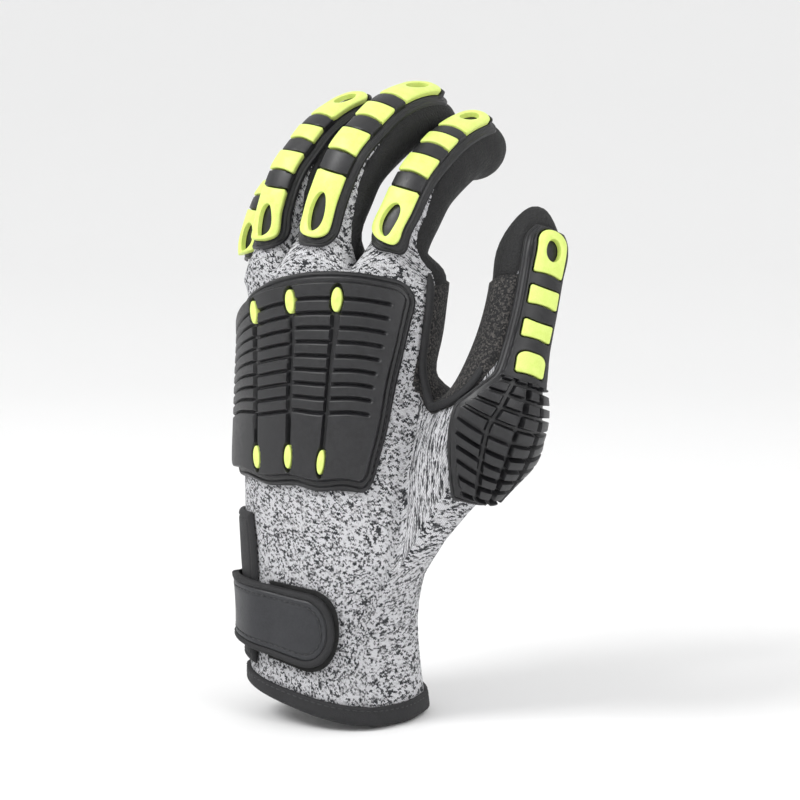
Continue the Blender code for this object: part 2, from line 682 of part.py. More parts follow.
def oval_prism(frame, bottom, top, shrink):
    """An upright prism with an oval outline, between two heights over a frame's base."""
    base, up, forward = frame
    side = forward.cross(up)
    sides = OVAL_SIDES
    points = []
    for height in (bottom, top):
        for k in range(sides):
            turn = 2 * math.pi * k / sides
            along = forward * (math.cos(turn) * (OVAL_LENGTH / 2 - shrink))
            points.append(base + up * height - side * (math.sin(turn) * (OVAL_WIDTH / 2 - shrink)) + along)
    faces = [(k, (k + 1) % sides, (k + 1) % sides + sides, k + sides) for k in range(sides)]
    faces += [tuple(range(sides, 2 * sides)), tuple(reversed(range(sides)))]
    return points, faces


def strip_point(skin, net, row, column, lift):
    """A point of a strip or its inlays, with the column counted from the middle of the finger's back."""
    root_lift = STRIP_ROOT_LIFT * max(0.0, 1 - row)
    return skin.at(net, row, BACK_MIDDLE + column, STRIP_CLEARANCE + root_lift + lift)


def strip_rows(start, end, pockets):
    """The rows of a strip: its border at the tip, and its pockets' walls."""
    rows = [start, end - STRIP_BORDER - WALL_RUN, end - STRIP_BORDER, end]
    for pocket in pockets:
        rows += [pocket.start, pocket.start + WALL_RUN, pocket.end - WALL_RUN, pocket.end]
    return rows


def strip_grids(skin, net, rows, body_start, pockets):
    """The underside and the top of a moulded strip on a finger's back, each with its places."""
    first, last = rows[0], rows[-1]
    body_end = last - STRIP_BORDER

    def place(row, column, lift):
        if abs(column) > BODY_FOOT:
            end = min(row - first if body_start > first else 1, last - row) / STRIP_CORNER
            column *= STRIP_END + (1 - STRIP_END) * corner(end)
        return strip_point(skin, net, row, column, lift)

    def thickness(row, column):
        if abs(column) > 1 or not body_start <= row < body_end:
            return STRIP_FLANGE
        if any(pocket.start < row < pocket.end for pocket in pockets):
            return STRIP_FLOOR
        return STRIP_BAR

    columns = [-STRIP_REACH, -BODY_FOOT, -1, 0, 1, BODY_FOOT, STRIP_REACH]
    over = [[place(row, column, thickness(row, column)) for column in columns] for row in rows]
    under_columns = [-STRIP_REACH, -1, 0, 1, STRIP_REACH]
    under_rows = with_lines([first, last - STRIP_BORDER, last], first, last)
    if body_start > first:
        under_rows = sorted([*under_rows, first + STRIP_BORDER])
    under = [[place(row, column, 0) for column in under_columns] for row in under_rows]
    across = [column / STRIP_REACH for column in columns]
    under_across = [column / STRIP_REACH for column in under_columns]
    return (under, under_across, under_rows), (over, across, rows)


def add_inlays(skin, net, pockets):
    """The bright blocks and loops that fill a strip's pockets."""
    bottom = STRIP_FLOOR + INLAY_GAP
    top = STRIP_BAR + INLAY_RISE
    for pocket in pockets:
        start, end = pocket.start + INLAY_SHORT + WALL_RUN, pocket.end - INLAY_SHORT - WALL_RUN
        columns = [-INLAY_SIDE, 0, INLAY_SIDE]
        rows = [start, end]
        if pocket.hole_end:
            columns = [-INLAY_SIDE, -LOOP_HOLE, 0, LOOP_HOLE, INLAY_SIDE]
            rows = [start, pocket.hole_start, pocket.hole_end, end]
        rows = with_lines(rows, start, end)
        inside = [r for r, row in enumerate(rows) if pocket.hole_start <= row < pocket.hole_end]
        holes = [(r, c) for r in inside for c in (1, 2)]
        under = [[strip_point(skin, net, row, column, bottom) for column in columns] for row in rows]
        over = [[strip_point(skin, net, row, column, top) for column in columns] for row in rows]
        add_slab(f"{net}_{pocket.name}", under, over, LIME, holes)


def add_finger_guard(skin, finger):
    start, end = STRIP_ROWS
    body_start = start + STRIP_BORDER
    rows = strip_rows(start, end, FINGER_POCKETS)
    rows = with_lines(sorted([*rows, body_start, body_start + WALL_RUN]), start, end)
    under, over = strip_grids(skin, finger, rows, body_start + WALL_RUN, FINGER_POCKETS)
    add_moulding(f"{finger}_guard", [under], [over], RUBBER)
    add_inlays(skin, finger, FINGER_POCKETS)


def add_thumb_guard(skin):
    """The thumb's strip, and the ribbed pad that it widens into."""
    start, neck = PAD_EDGES[0].row, PAD_EDGES[-1].row

    def place(row, share, lift):
        low, high = next(pair for pair in zip(PAD_EDGES, PAD_EDGES[1:]) if row <= pair[1].row)
        run = (row - low.row) / (high.row - low.row)
        left = low.left + (high.left - low.left) * run
        right = low.right + (high.right - low.right) * run
        clearance = PAD_CLEARANCE + (STRIP_CLEARANCE - PAD_CLEARANCE) * smooth(row - neck + 1)
        clearance += STRIP_ROOT_LIFT * max(0.0, 1 - row)
        return skin.at("thumb", row, (left + right) / 2 + share * (right - left) / 2, clearance + lift)

    half_across, half_along = PAD_GROOVE_WIDTH
    first_rib = start + PAD_BORDER + WALL_RUN
    cross = [first_rib + (neck - first_rib) * k / PAD_RIBS for k in range(1, PAD_RIBS)]
    across = [-1, -PAD_FOOT, -PAD_CROWN, PAD_CROWN, PAD_FOOT, 1]
    for groove in PAD_GROOVES:
        across += [groove - half_across, groove, groove + half_across]
    along = [start, start + PAD_BORDER, first_rib, neck]
    for groove in cross:
        along += [groove - half_along, groove, groove + half_along]
    across.sort()
    along.sort()

    def thickness(row, share):
        if abs(share) > PAD_CROWN or row < first_rib:
            return STRIP_FLANGE
        if row == neck:
            return STRIP_BAR
        return PAD_FLOOR if share in PAD_GROOVES or row in cross else PAD_RIB

    over = [[place(row, share, thickness(row, share)) for share in across] for row in along]
    coarse = [k / PAD_UNDER for k in range(-PAD_UNDER, PAD_UNDER + 1)]
    levels = sorted([*(edge.row for edge in PAD_EDGES), *PAD_UNDER_ROWS])
    under = [[place(row, share, 0) for share in coarse] for row in levels]

    strip_start = neck + WALL_RUN
    rows = strip_rows(strip_start, THUMB_GUARD_END, THUMB_POCKETS)
    rows = with_lines(sorted(rows), strip_start, THUMB_GUARD_END)
    strip_under, strip_over = strip_grids(skin, "thumb", rows, strip_start, THUMB_POCKETS)
    stacks = [(under, coarse, levels), strip_under], [(over, across, along), strip_over]
    add_moulding("thumb_guard", *stacks, RUBBER)
    add_inlays(skin, "thumb", THUMB_POCKETS)


def tab_point(skin, along, across, lift):
    """A point of the strap's tab: along in columns of the palm net, across in metres from its middle line."""
    run = (along - TAB_COLUMNS[0]) / (TAB_END - TAB_COLUMNS[0])
    middle = TAB_HEIGHTS[0] + (TAB_HEIGHTS[1] - TAB_HEIGHTS[0]) * run
    base_edge = STRAP_BASE_COLUMNS[-1]
    settled = smooth((along - base_edge - TAB_SETTLE[0]) / TAB_SETTLE[1])
    under = TAB_LIFT[0] + (TAB_LIFT[1] - TAB_LIFT[0]) * settled
    return skin.at("palm", row_at(middle + across), along, under + lift)


def tab_outline(skin, half_width, straight, end):
    """Places (along, across) of the tab's edge: along its upper side, round its end and back."""
    pitch = (tab_point(skin, end, 0, 0) - tab_point(skin, end - 1, 0, 0)).length
    centre = end - half_width / pitch
    outline = [(along, half_width) for along in straight]
    for k in range(ROUND_STEPS + 1):
        turn = math.pi * (0.5 - k / ROUND_STEPS)
        outline.append((centre + half_width / pitch * math.cos(turn), half_width * math.sin(turn)))
    return outline + [(along, -half_width) for along in reversed(straight)]


def add_strap(skin):
    """The base sewn to the cuff's little-finger side, and the bound tab that folds over it."""
    low, high = STRAP_BASE_HEIGHTS
    lines = with_lines([row_at(low), row_at(high)], row_at(low), row_at(high))
    top = STRAP_CLEARANCE + STRAP_BASE_THICKNESS
    under = [[skin.at("palm", row, c, STRAP_CLEARANCE) for c in STRAP_BASE_COLUMNS] for row in lines]
    over = [[skin.at("palm", row, c, top) for c in STRAP_BASE_COLUMNS] for row in lines]
    add_slab("strap_base", under, over, TAPE)

    end = TAB_END
    half = TAB_WIDTH / 2
    outer = tab_outline(skin, half, TAB_COLUMNS, end)
    pitch = (tab_point(skin, end, 0, 0) - tab_point(skin, end - 1, 0, 0)).length
    inset = TAB_BINDING_WIDTH
    inner = tab_outline(skin, half - inset, TAB_COLUMNS, end - inset / pitch)
    inset += GAP
    face = tab_outline(skin, half - inset, TAB_COLUMNS, end - inset / pitch)
    middle = TAB_BINDING_THICKNESS / 2
    add_tab_slab(skin, "strap_tab", face, middle - TAB_THICKNESS / 2, middle + TAB_THICKNESS / 2, LEATHER)
    peek = HOOK_PAD_PEEK
    pad = tab_outline(skin, half - inset, [end - HOOK_PAD_LENGTH], end + peek / pitch)
    add_tab_slab(skin, "hook_pad", pad, -GAP - HOOK_PAD_THICKNESS, -GAP, HOOK)

    points = []
    for a, b in zip(outer, inner):
        points += [tab_point(skin, *b, 0), tab_point(skin, *a, 0)]
        points += [tab_point(skin, *a, TAB_BINDING_THICKNESS), tab_point(skin, *b, TAB_BINDING_THICKNESS)]
    faces = [(3, 2, 1, 0), tuple(len(points) - k for k in (4, 3, 2, 1))]
    for first in range(0, len(points) - 4, 4):
        for k in range(4):
            m = (k + 1) % 4
            faces.append((first + k, first + m, first + m + 4, first + k + 4))
    add_piece("strap_binding", points, faces, TAPE)


def add_tab_slab(skin, name, outline, bottom, top, finish):
    """A slab inside an outline of the tab, from rungs that join its two sides."""
    count = len(outline) // 2
    rungs = [(outline[k], outline[-1 - k]) for k in range(count)]
    under, over = [], []
    for a, b in rungs:
        across = [b[1] + (a[1] - b[1]) * share for share in (1, 0.5, 0)]
        under.append([tab_point(skin, a[0], t, bottom) for t in across])
        over.append([tab_point(skin, a[0], t, top) for t in across])
    add_slab(name, under, over, finish)


def main():
    for obj in list(bpy.data.objects):
        bpy.data.objects.remove(obj)
    skin = build_skin()
    add_liner(skin)
    add_coating_and_patch(skin)
    add_binding(skin)
    add_back_guard(skin)
    for finger in FINGERS:
        add_finger_guard(skin, finger.name)
    add_thumb_guard(skin)
    add_strap(skin)


main()
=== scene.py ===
import math
from collections import namedtuple

import bpy
import numpy as np
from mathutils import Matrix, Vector


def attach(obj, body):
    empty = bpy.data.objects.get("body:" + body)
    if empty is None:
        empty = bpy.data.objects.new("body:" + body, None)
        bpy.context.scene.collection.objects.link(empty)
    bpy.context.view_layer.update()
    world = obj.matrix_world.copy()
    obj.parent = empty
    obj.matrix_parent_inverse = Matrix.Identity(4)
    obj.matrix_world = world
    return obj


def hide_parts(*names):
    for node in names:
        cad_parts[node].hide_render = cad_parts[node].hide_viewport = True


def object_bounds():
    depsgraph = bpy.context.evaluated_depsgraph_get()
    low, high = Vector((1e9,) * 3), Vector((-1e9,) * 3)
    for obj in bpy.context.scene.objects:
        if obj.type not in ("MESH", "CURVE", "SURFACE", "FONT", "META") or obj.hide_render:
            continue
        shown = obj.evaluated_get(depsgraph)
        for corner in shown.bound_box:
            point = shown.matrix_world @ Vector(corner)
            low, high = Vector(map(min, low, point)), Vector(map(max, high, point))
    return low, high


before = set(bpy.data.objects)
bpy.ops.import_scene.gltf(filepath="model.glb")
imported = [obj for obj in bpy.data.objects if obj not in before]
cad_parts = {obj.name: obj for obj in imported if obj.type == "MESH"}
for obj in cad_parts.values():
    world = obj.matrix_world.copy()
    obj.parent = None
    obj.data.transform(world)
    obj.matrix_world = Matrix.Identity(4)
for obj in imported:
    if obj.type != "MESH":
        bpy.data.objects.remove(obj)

MM = 0.001
cad_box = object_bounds()

# Camera, floor and light
# The glove stands on its cuff on a pale floor that rises into a round wall. The camera looks at the back of
# the hand from the thumb's side, a little above level, as the photograph does.
CAMERA_TARGET = Vector((14.5, 21.7, 107)) * MM
CAMERA_AZIMUTH = math.radians(35)
CAMERA_ELEVATION = math.radians(5)
CAMERA_DISTANCE = 800 * MM
CAMERA_LENS = 96  # in mm, on a sensor 36 mm wide

toward = Vector((
    math.sin(CAMERA_AZIMUTH) * math.cos(CAMERA_ELEVATION),
    -math.cos(CAMERA_AZIMUTH) * math.cos(CAMERA_ELEVATION),
    math.sin(CAMERA_ELEVATION),
))


def add_object(name, data):
    """A new object in the scene, with its data."""
    made = bpy.data.objects.new(name, data)
    bpy.context.scene.collection.objects.link(made)
    return made


def aim(item, place, direction):
    """Puts a camera or a lamp at a place and turns it to look along a direction."""
    item.location = place
    item.rotation_mode = "QUATERNION"
    item.rotation_quaternion = direction.to_track_quat("-Z", "Y")


camera = add_object("camera", bpy.data.cameras.new("camera"))
aim(camera, CAMERA_TARGET + toward * CAMERA_DISTANCE, -toward)
camera.data.lens = CAMERA_LENS
camera.data.clip_start = 0.01
bpy.context.scene.camera = camera

LIGHTS = [  # name, place, size and power
    ("key_light", Vector((-0.6, -1.2, 1.5)), 0.8, 20),
    ("side_light", Vector((1.5, -0.5, 0.9)), 0.8, 6),
]
for name, place, size, power in LIGHTS:
    light = bpy.data.lights.new(name, "AREA")
    light.shape = "DISK"
    light.size = size
    light.energy = power
    aim(add_object(name, light), place, CAMERA_TARGET - place)

world = bpy.data.worlds.new("studio")
world.use_nodes = True
world.node_tree.nodes["Background"].inputs["Color"].default_value = (1, 1, 1, 1)
world.node_tree.nodes["Background"].inputs["Strength"].default_value = 0.95
bpy.context.scene.world = world
bpy.context.scene.view_settings.view_transform = "Standard"


def add_node(tree, kind, inputs=(), **settings):
    """A shader or geometry node, with its settings and its inputs, each a value or another node's socket."""
    made = tree.nodes.new(kind)
    for key, value in settings.items():
        setattr(made, key, value)
    for key, value in dict(inputs).items():
        if isinstance(value, bpy.types.NodeSocket):
            tree.links.new(value, made.inputs[key])
        else:
            made.inputs[key].default_value = value
    return made


def new_material(name, colour, roughness, **constants):
    """A material, its node tree and its shader, with a constant colour, roughness and other sockets."""
    material = bpy.data.materials.new(name)
    material.use_nodes = True
    shader = material.node_tree.nodes["Principled BSDF"]
    shader.inputs["Base Color"].default_value = (*colour, 1)
    shader.inputs["Roughness"].default_value = roughness
    for socket, value in constants.items():
        shader.inputs[socket.replace("_", " ")].default_value = value
    return material, material.node_tree, shader


FLOOR_RADII = (1.5, 6.5, 9.0)  # of the flat part, of the start of the wall, and of its top
FLOOR_WALL = 5.6
FLOOR_BEND_STEPS = 8
FLOOR_SIDES = 64
FLOOR_GAP = 0.3 * MM  # from the floor up to the glove
floor_profile = [(0, 0), (FLOOR_RADII[0], 0)]
for k in range(1, FLOOR_BEND_STEPS + 1):
    turn = math.pi / 2 * k / FLOOR_BEND_STEPS
    rise = FLOOR_RADII[1] - FLOOR_RADII[0]
    floor_profile.append((FLOOR_RADII[0] + rise * math.sin(turn), rise * (1 - math.cos(turn))))
floor_profile.append((FLOOR_RADII[2], FLOOR_WALL))
floor_points = [(0, 0, 0)]
floor_faces = []
for radius, height in floor_profile[1:]:
    for k in range(FLOOR_SIDES):
        turn = 2 * math.pi * k / FLOOR_SIDES
        floor_points.append((radius * math.cos(turn), radius * math.sin(turn), height))
for ring in range(len(floor_profile) - 1):
    for k in range(FLOOR_SIDES):
        low, high = 1 + (ring - 1) * FLOOR_SIDES, 1 + ring * FLOOR_SIDES
        d = (k + 1) % FLOOR_SIDES
        if ring:
            floor_faces.append((low + k, high + k, high + d, low + d))
        else:
            floor_faces.append((0, high + k, high + d))
mesh = bpy.data.meshes.new("floor")
floor_level = cad_box[0].z - FLOOR_GAP
mesh.from_pydata([(x, y, z + floor_level) for x, y, z in floor_points], [], floor_faces)
mesh.shade_smooth()
mesh.materials.append(new_material("pale_floor", (0.90, 0.90, 0.90), 0.8)[0])
floor = add_object("floor", mesh)

# Knitted liner
# A seamless tube of white and charcoal yarn, knitted in one piece round the palm and each finger, here as a
# hand fills it. Its outside is a net of rings and columns, and every other piece is laid on that net.
CROTCH_HEIGHT = 162 * MM
PALM_HALF_WIDTH = 46 * MM
PALM_HALF_DEPTH = 18.5 * MM
LITTLE_SIDE_ARCH = 27 * MM
THUMB_SIDE_ARCH = 20 * MM
KNIT_WALL = 1.4 * MM
HEM_SLOPE = math.tan(math.radians(12))

# Sections of the palm: height as a share of the crotch's, the rest as shares of the palm's sizes.
Section = namedtuple("Section", "height half_width half_depth offset_x offset_y arch")
SECTIONS = [
    Section(0.000, 0.68, 1.58, 0.03, 0.00, 0.00),
    Section(0.170, 0.65, 1.46, 0.00, -0.01, 0.01),
    Section(0.305, 0.78, 1.33, 0.06, -0.06, 0.15),
    Section(0.415, 0.82, 1.24, 0.03, -0.08, 0.30),
    Section(0.515, 0.83, 1.18, -0.02, -0.08, 0.45),
    Section(0.620, 0.86, 1.12, -0.04, -0.06, 0.60),
    Section(0.730, 0.875, 1.06, -0.065, -0.04, 0.72),
    Section(0.830, 0.90, 1.02, -0.09, -0.01, 0.86),
    Section(0.930, 0.960, 0.96, -0.150, 0.00, 1.06),
    Section(1.000, 0.99, 0.90, -0.195, 0.00, 1.15),
]
BACK_COLUMNS = 16
BACK_SHARE = 0.92
SQUARENESS = 2.5
ARCH_CREST = 0.13
WEB_DIP = 6 * MM
KNUCKLE_DROP = 7 * MM
KNUCKLE_SHARE = 0.5

# Fingers, with sizes in mm, angles in degrees, and the knuckles' places as shares of the length.
Finger = namedtuple(
    "Finger",
    "name length half_width half_depth swell lean tilt roll root_bend middle middle_bend end end_bend",
)
FINGERS = [
    Finger("little", 70, 9.2, 8.8, 1.00, 7, 4, -20, 6, 0.36, 34, 0.68, 20),
    Finger("ring", 87, 9.8, 9.6, 1.00, 8, 2, -8, 7, 0.36, 34, 0.68, 37),
    Finger("middle", 101, 9.9, 10.0, 1.00, 15, 2, 2, 6, 0.36, 46, 0.68, 42),
    Finger("index", 85, 9.9, 10.0, 1.00, 15, 0, 6, 22, 0.38, 36, 0.68, 27),
]
FINGER_SET_BACK = 7 * MM
THUMB = Finger("thumb", 100, 10.9, 10.6, 1.66, 48, -10, 64, 0, 0.24, 47, 0.60, 10)
THUMB_ROWS = (2, 6)
THUMB_ROOT = Vector((13, 3, 5)) * MM
SIDES = 12
STATIONS = 8
STEPS = 12
BEND_REACH = 0.26
SWELL_END = 0.6
TIP_START = 0.86
TIP_LAST = 0.985


def ease(value):
    """An S curve from 0 to 1."""
    value = np.clip(value, 0, 1)
    return value * value * (3 - 2 * value)


def section_point(section, share, side):
    """A point of a palm section: share from -1 to 1 across, side -1 on the back and +1 on the palm."""
    half_width = section.half_width * PALM_HALF_WIDTH
    bulge = side * section.half_depth * PALM_HALF_DEPTH * (1 - abs(share) ** SQUARENESS) ** (1 / SQUARENESS)
    drop = section.arch * (LITTLE_SIDE_ARCH if share < ARCH_CREST else THUMB_SIDE_ARCH)
    middle = Vector((section.offset_x * PALM_HALF_WIDTH + share * half_width,
                     section.offset_y * PALM_HALF_DEPTH + drop * (share - ARCH_CREST) ** 2))
    across = Vector((half_width, 2 * drop * (share - ARCH_CREST))).normalized()
    x, y = middle + Vector((-across.y, across.x)) * bulge
    z = section.height * CROTCH_HEIGHT - HEM_SLOPE * x * (1 - ease(section.height * 4))
    rise = ease((section.height - KNUCKLE_SHARE) / (1 - KNUCKLE_SHARE))
    return Vector((x, y, z - KNUCKLE_DROP * (share - ARCH_CREST) ** 2 * rise))


def even_points(section, side):
    """Points across the back or the palm, evenly spaced along the section's curve."""
    fine = 12 * BACK_COLUMNS
    points = [section_point(section, BACK_SHARE * (2 * k / fine - 1), side) for k in range(fine + 1)]
    run = np.cumsum([0, *((b - a).length for a, b in zip(points, points[1:]))])
    goals = run[-1] * np.arange(BACK_COLUMNS + 1) / BACK_COLUMNS
    return [points[int(np.argmin(abs(run - goal)))] for goal in goals]


def palm_ring(section):
    """The ring's points: little-finger side, back, thumb side, palm."""
    ends = section_point(section, -1, 0), section_point(section, 1, 0)
    return [ends[0], *even_points(section, -1), ends[1], *even_points(section, 1)[::-1]]


def finger_rings(finger, root):
    """Rings round a bent finger that starts at root."""
    lean, tilt, roll = (math.radians(angle) for angle in (finger.lean, finger.tilt, finger.roll))
    axis = Vector((math.tan(lean), math.tan(tilt), 1)).normalized()
    back = Vector((math.sin(roll), -math.cos(roll), 0))
    back = (back - axis * back.dot(axis)).normalized()
    side = axis.cross(back)
    step = TIP_LAST / (STATIONS * STEPS)

    def bend_at(share):
        bend = finger.root_bend + finger.middle_bend * ease((share - finger.middle) / BEND_REACH + 0.5)
        return math.radians(bend + finger.end_bend * ease((share - finger.end) / BEND_REACH + 0.5))

    centre = root.copy()
    rings = []
    for k in range(1, STATIONS * STEPS + 1):
        angle = bend_at((k - 0.5) * step)
        centre += (axis * math.cos(angle) - back * math.sin(angle)) * finger.length * MM * step
        if k % STEPS:
            continue
        angle = bend_at(k * step)
        outward = back * math.cos(angle) + axis * math.sin(angle)
        girth = 1 + (finger.swell - 1) * (1 - ease(k * step / SWELL_END))
        girth *= MM * math.sqrt(1 - (max(0, k * step - TIP_START) / (1 - TIP_START)) ** 2)
        ring = []
        for c in range(SIDES):
            turn = math.radians(150 - 360 / SIDES * c)
            ring.append(centre + side * (math.cos(turn) * finger.half_width * girth)
                        + outward * (math.sin(turn) * finger.half_depth * girth))
        rings.append(ring)
    return rings


points = []
faces = []  # corners' numbers, the net's number, and each corner's (row, column)


def add_points(ring):
    points.extend(ring)
    return list(range(len(points) - len(ring), len(points)))


def join_rings(net, row, low, high, skip=()):
    for c in range(len(low)):
        if c not in skip:
            d = (c + 1) % len(low)
            corners = [(row, c), (row, c + 1), (row + 1, c + 1), (row + 1, c)]
            faces.append(((low[c], low[d], high[d], high[c]), net, corners))


palm_net = [add_points(palm_ring(section)) for section in SECTIONS]
THUMB_SIDE = BACK_COLUMNS + 2
low_row, high_row = THUMB_ROWS
for row in range(len(palm_net) - 1):
    hole = (THUMB_SIDE - 1, THUMB_SIDE) if low_row <= row < high_row else ()
    join_rings(0, row, palm_net[row], palm_net[row + 1], hole)
level_rings = [[points[i].copy() for i in ring] for ring in palm_net]  # before the webs' dips
back_edge = palm_net[-1][1 : BACK_COLUMNS + 2]
front_edge = palm_net[-1][BACK_COLUMNS + 3 :][::-1]
for edge in (back_edge, front_edge):
    for j, i in enumerate(edge):
        points[i].z -= WEB_DIP * math.cos(math.pi * j / 4) ** 2
webs = [palm_net[-1][0], 0, 0, 0, palm_net[-1][THUMB_SIDE]]
for f in range(1, len(FINGERS)):
    webs[f] = add_points([(points[back_edge[4 * f]] + points[front_edge[4 * f]]) / 2])[0]
loops = {}
for f, finger in enumerate(FINGERS):
    span = slice(4 * f, 4 * f + 5)
    roll = math.radians(finger.roll)
    loop = [*back_edge[span], webs[f + 1], *front_edge[span][::-1], webs[f]]
    loops[finger.name] = loop, Vector((math.sin(roll), -math.cos(roll), 0)) * FINGER_SET_BACK
thumb_back = [palm_net[row][THUMB_SIDE - 1] for row in range(low_row, high_row + 1)]
thumb_front = [palm_net[row][THUMB_SIDE + 1] for row in range(low_row, high_row + 1)]
thumb_loop = [thumb_back[1], thumb_back[0], palm_net[low_row][THUMB_SIDE], *thumb_front]
loops["thumb"] = [*thumb_loop, palm_net[high_row][THUMB_SIDE], *thumb_back[:1:-1]], THUMB_ROOT
finger_nets = {}
for number, finger in enumerate([*FINGERS, THUMB], start=1):
    loop, offset = loops[finger.name]
    root = sum((points[i] for i in loop), Vector()) / SIDES + offset
    net = [loop, *(add_points(ring) for ring in finger_rings(finger, root))]
    for row in range(STATIONS):
        join_rings(number, row, net[row], net[row + 1])
    faces.append((tuple(net[-1]), number, [(STATIONS, c) for c in range(SIDES)]))
    finger_nets[finger.name] = net


class Surface:
    """A smooth surface through a net of rings, which other pieces are laid on."""

    def __init__(self, rings):
        rings = np.array(rings)
        self.rings = np.concatenate([[2 * rings[0] - rings[1]], rings, [2 * rings[-1] - rings[-2]]])

    def at(self, row, column, lift=0.0):
        """Points at rows and columns, which may be fractions, lifted off the surface."""
        row, column, lift = np.broadcast_arrays(np.asarray(row, float), column, lift)
        r = np.clip(np.floor(row), 0, len(self.rings) - 4).astype(int)
        c = np.floor(column).astype(int)
        row_weights, row_slopes = self.weights(row - r)
        column_weights, column_slopes = self.weights(column - c)
        point, along, across = (np.zeros((*row.shape, 3)) for _ in range(3))
        for i in range(4):
            for j in range(4):
                corner = self.rings[r + i, (c + j - 1) % self.rings.shape[1]]
                point += corner * (row_weights[i] * column_weights[j])[..., None]
                along += corner * (row_slopes[i] * column_weights[j])[..., None]
                across += corner * (row_weights[i] * column_slopes[j])[..., None]
        normal = np.cross(across, along)
        normal /= np.linalg.norm(normal, axis=-1, keepdims=True)
        return point + normal * lift[..., None]

    @staticmethod
    def weights(t):
        """Weights of four rings or columns at t between the middle two, and the weights' slopes."""
        values = (-t**3 + 2 * t**2 - t, 3 * t**3 - 5 * t**2 + 2, -3 * t**3 + 4 * t**2 + t, t**3 - t**2)
        slopes = (-3 * t**2 + 4 * t - 1, 9 * t**2 - 10 * t, -9 * t**2 + 8 * t + 1, 3 * t**2 - 2 * t)
        return [value / 2 for value in values], [slope / 2 for slope in slopes]


surfaces = {name: Surface([[points[i] for i in ring] for ring in net]) for name, net in finger_nets.items()}
surfaces["palm"] = Surface(level_rings)

WALE = 0.95 * MM
COURSE = 0.60 * MM
palm_heights = np.array([section.height * CROTCH_HEIGHT for section in SECTIONS])


def evaluated_mesh(item):
    """An object's mesh after its modifiers."""
    bpy.context.view_layer.update()
    return bpy.data.meshes.new_from_object(item.evaluated_get(bpy.context.evaluated_depsgraph_get()))


def read_values(items, key, width, kind=float):
    """One property of all the items of a mesh, as rows of width numbers."""
    values = np.zeros(len(items) * width, kind)
    items.foreach_get(key, values)
    return values.reshape(-1, width)


def finer_skin(level):
    """The net subdivided into a smooth surface that still passes through the net's own points."""
    mesh = bpy.data.meshes.new("skin")
    mesh.from_pydata(points, [], [corners for corners, _, _ in faces])
    layer = mesh.uv_layers.new(name="net")
    places = [place for _, _, corners in faces for place in corners]
    layer.data.foreach_set("uv", np.array(places, np.float32)[:, ::-1].ravel())
    mesh.polygons.foreach_set("material_index", [net for _, net, _ in faces])
    for _ in range(6):
        mesh.materials.append(None)
    skin = add_object("skin", mesh)
    smooth = skin.modifiers.new("smooth", "SUBSURF")
    smooth.levels = smooth.render_levels = level
    smooth.uv_smooth = "NONE"
    goal = np.array(points)
    cage = goal.copy()
    for _ in range(4):
        mesh.vertices.foreach_set("co", cage.astype(np.float32).ravel())
        mesh.update()
        fine = evaluated_mesh(skin)
        cage += goal - read_values(fine.vertices, "co", 3)[: len(goal)]
    bpy.data.objects.remove(skin)
    return fine


fine = finer_skin(2)
skin_points = read_values(fine.vertices, "co", 3)
skin_normals = read_values(fine.vertices, "normal", 3)
skin_faces = np.array([tuple(face.vertices) for face in fine.polygons])
skin_nets = read_values(fine.polygons, "material_index", 1, int)[:, 0]
skin_places = read_values(fine.uv_layers["net"].data, "uv", 2).reshape(-1, 4, 2)  # corners' (column, row)


def new_piece(name, place, corners, material, uv=None, smooth_angle=50):
    """A piece on the glove's one body, from points, faces and, where given, a UV for each face corner."""
    mesh = bpy.data.meshes.new(name)
    mesh.from_pydata(np.asarray(place).tolist(), [], [[int(i) for i in corner] for corner in corners])
    if uv is not None:
        layer = mesh.uv_layers.new(name="stitches")
        layer.data.foreach_set("uv", np.asarray(uv, np.float32).ravel())
    mesh.materials.append(material)
    mesh.shade_smooth()
    mesh.set_sharp_from_angle(angle=math.radians(smooth_angle))
    piece = add_object(name, mesh)
    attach(piece, "root")
    return piece


def walled(corners, low, high, uv=None):
    """A closed wall between two layers of points: its points, faces and UVs."""
    count = len(low)
    size = corners.shape[1]
    following = np.roll(corners, -1, axis=1)
    edges = {(int(a), int(b)): (n // size, n % size)
             for n, (a, b) in enumerate(zip(corners.ravel(), following.ravel()))}
    rims = [(a, b) for a, b in edges if (b, a) not in edges]
    result = [*(corners + count).tolist(), *corners[:, ::-1].tolist()]
    result += [(a, b, b + count, a + count) for a, b in rims]
    if uv is not None:
        rim_uv = []
        for a, b in rims:
            face, k = edges[a, b]
            start, end = uv[face, k], uv[face, (k + 1) % size]
            rim_uv += [start, end, end, start]
        uv = np.concatenate([uv.reshape(-1, 2), uv[:, ::-1].reshape(-1, 2), np.array(rim_uv).reshape(-1, 2)])
    return np.concatenate([low, high]), result, uv


def compact(corners, *layers):
    """The faces renumbered, with only the points that they use, from each layer."""
    used, numbers = np.unique(corners, return_inverse=True)
    return numbers.reshape(corners.shape), *(layer[used] for layer in layers)


def maths(tree, operation, *values):
    """The result of a maths node on numbers or other nodes' sockets."""
    made = add_node(tree, "ShaderNodeMath", dict(enumerate(values)), operation=operation)
    return made.outputs[0]


def add_ramp(tree, socket, *stops):
    """The colour of a ramp through stops, each a position and a colour."""
    ramp = add_node(tree, "ShaderNodeValToRGB", {"Fac": socket})
    elements = ramp.color_ramp.elements
    for index, (position, colour) in enumerate((stops[0], stops[-1])):
        elements[index].position = position
        elements[index].color = (*colour, 1)
    for position, colour in stops[1:-1]:
        stop = elements.new(position)
        stop.color = (*colour, 1)
    return ramp.outputs["Color"]


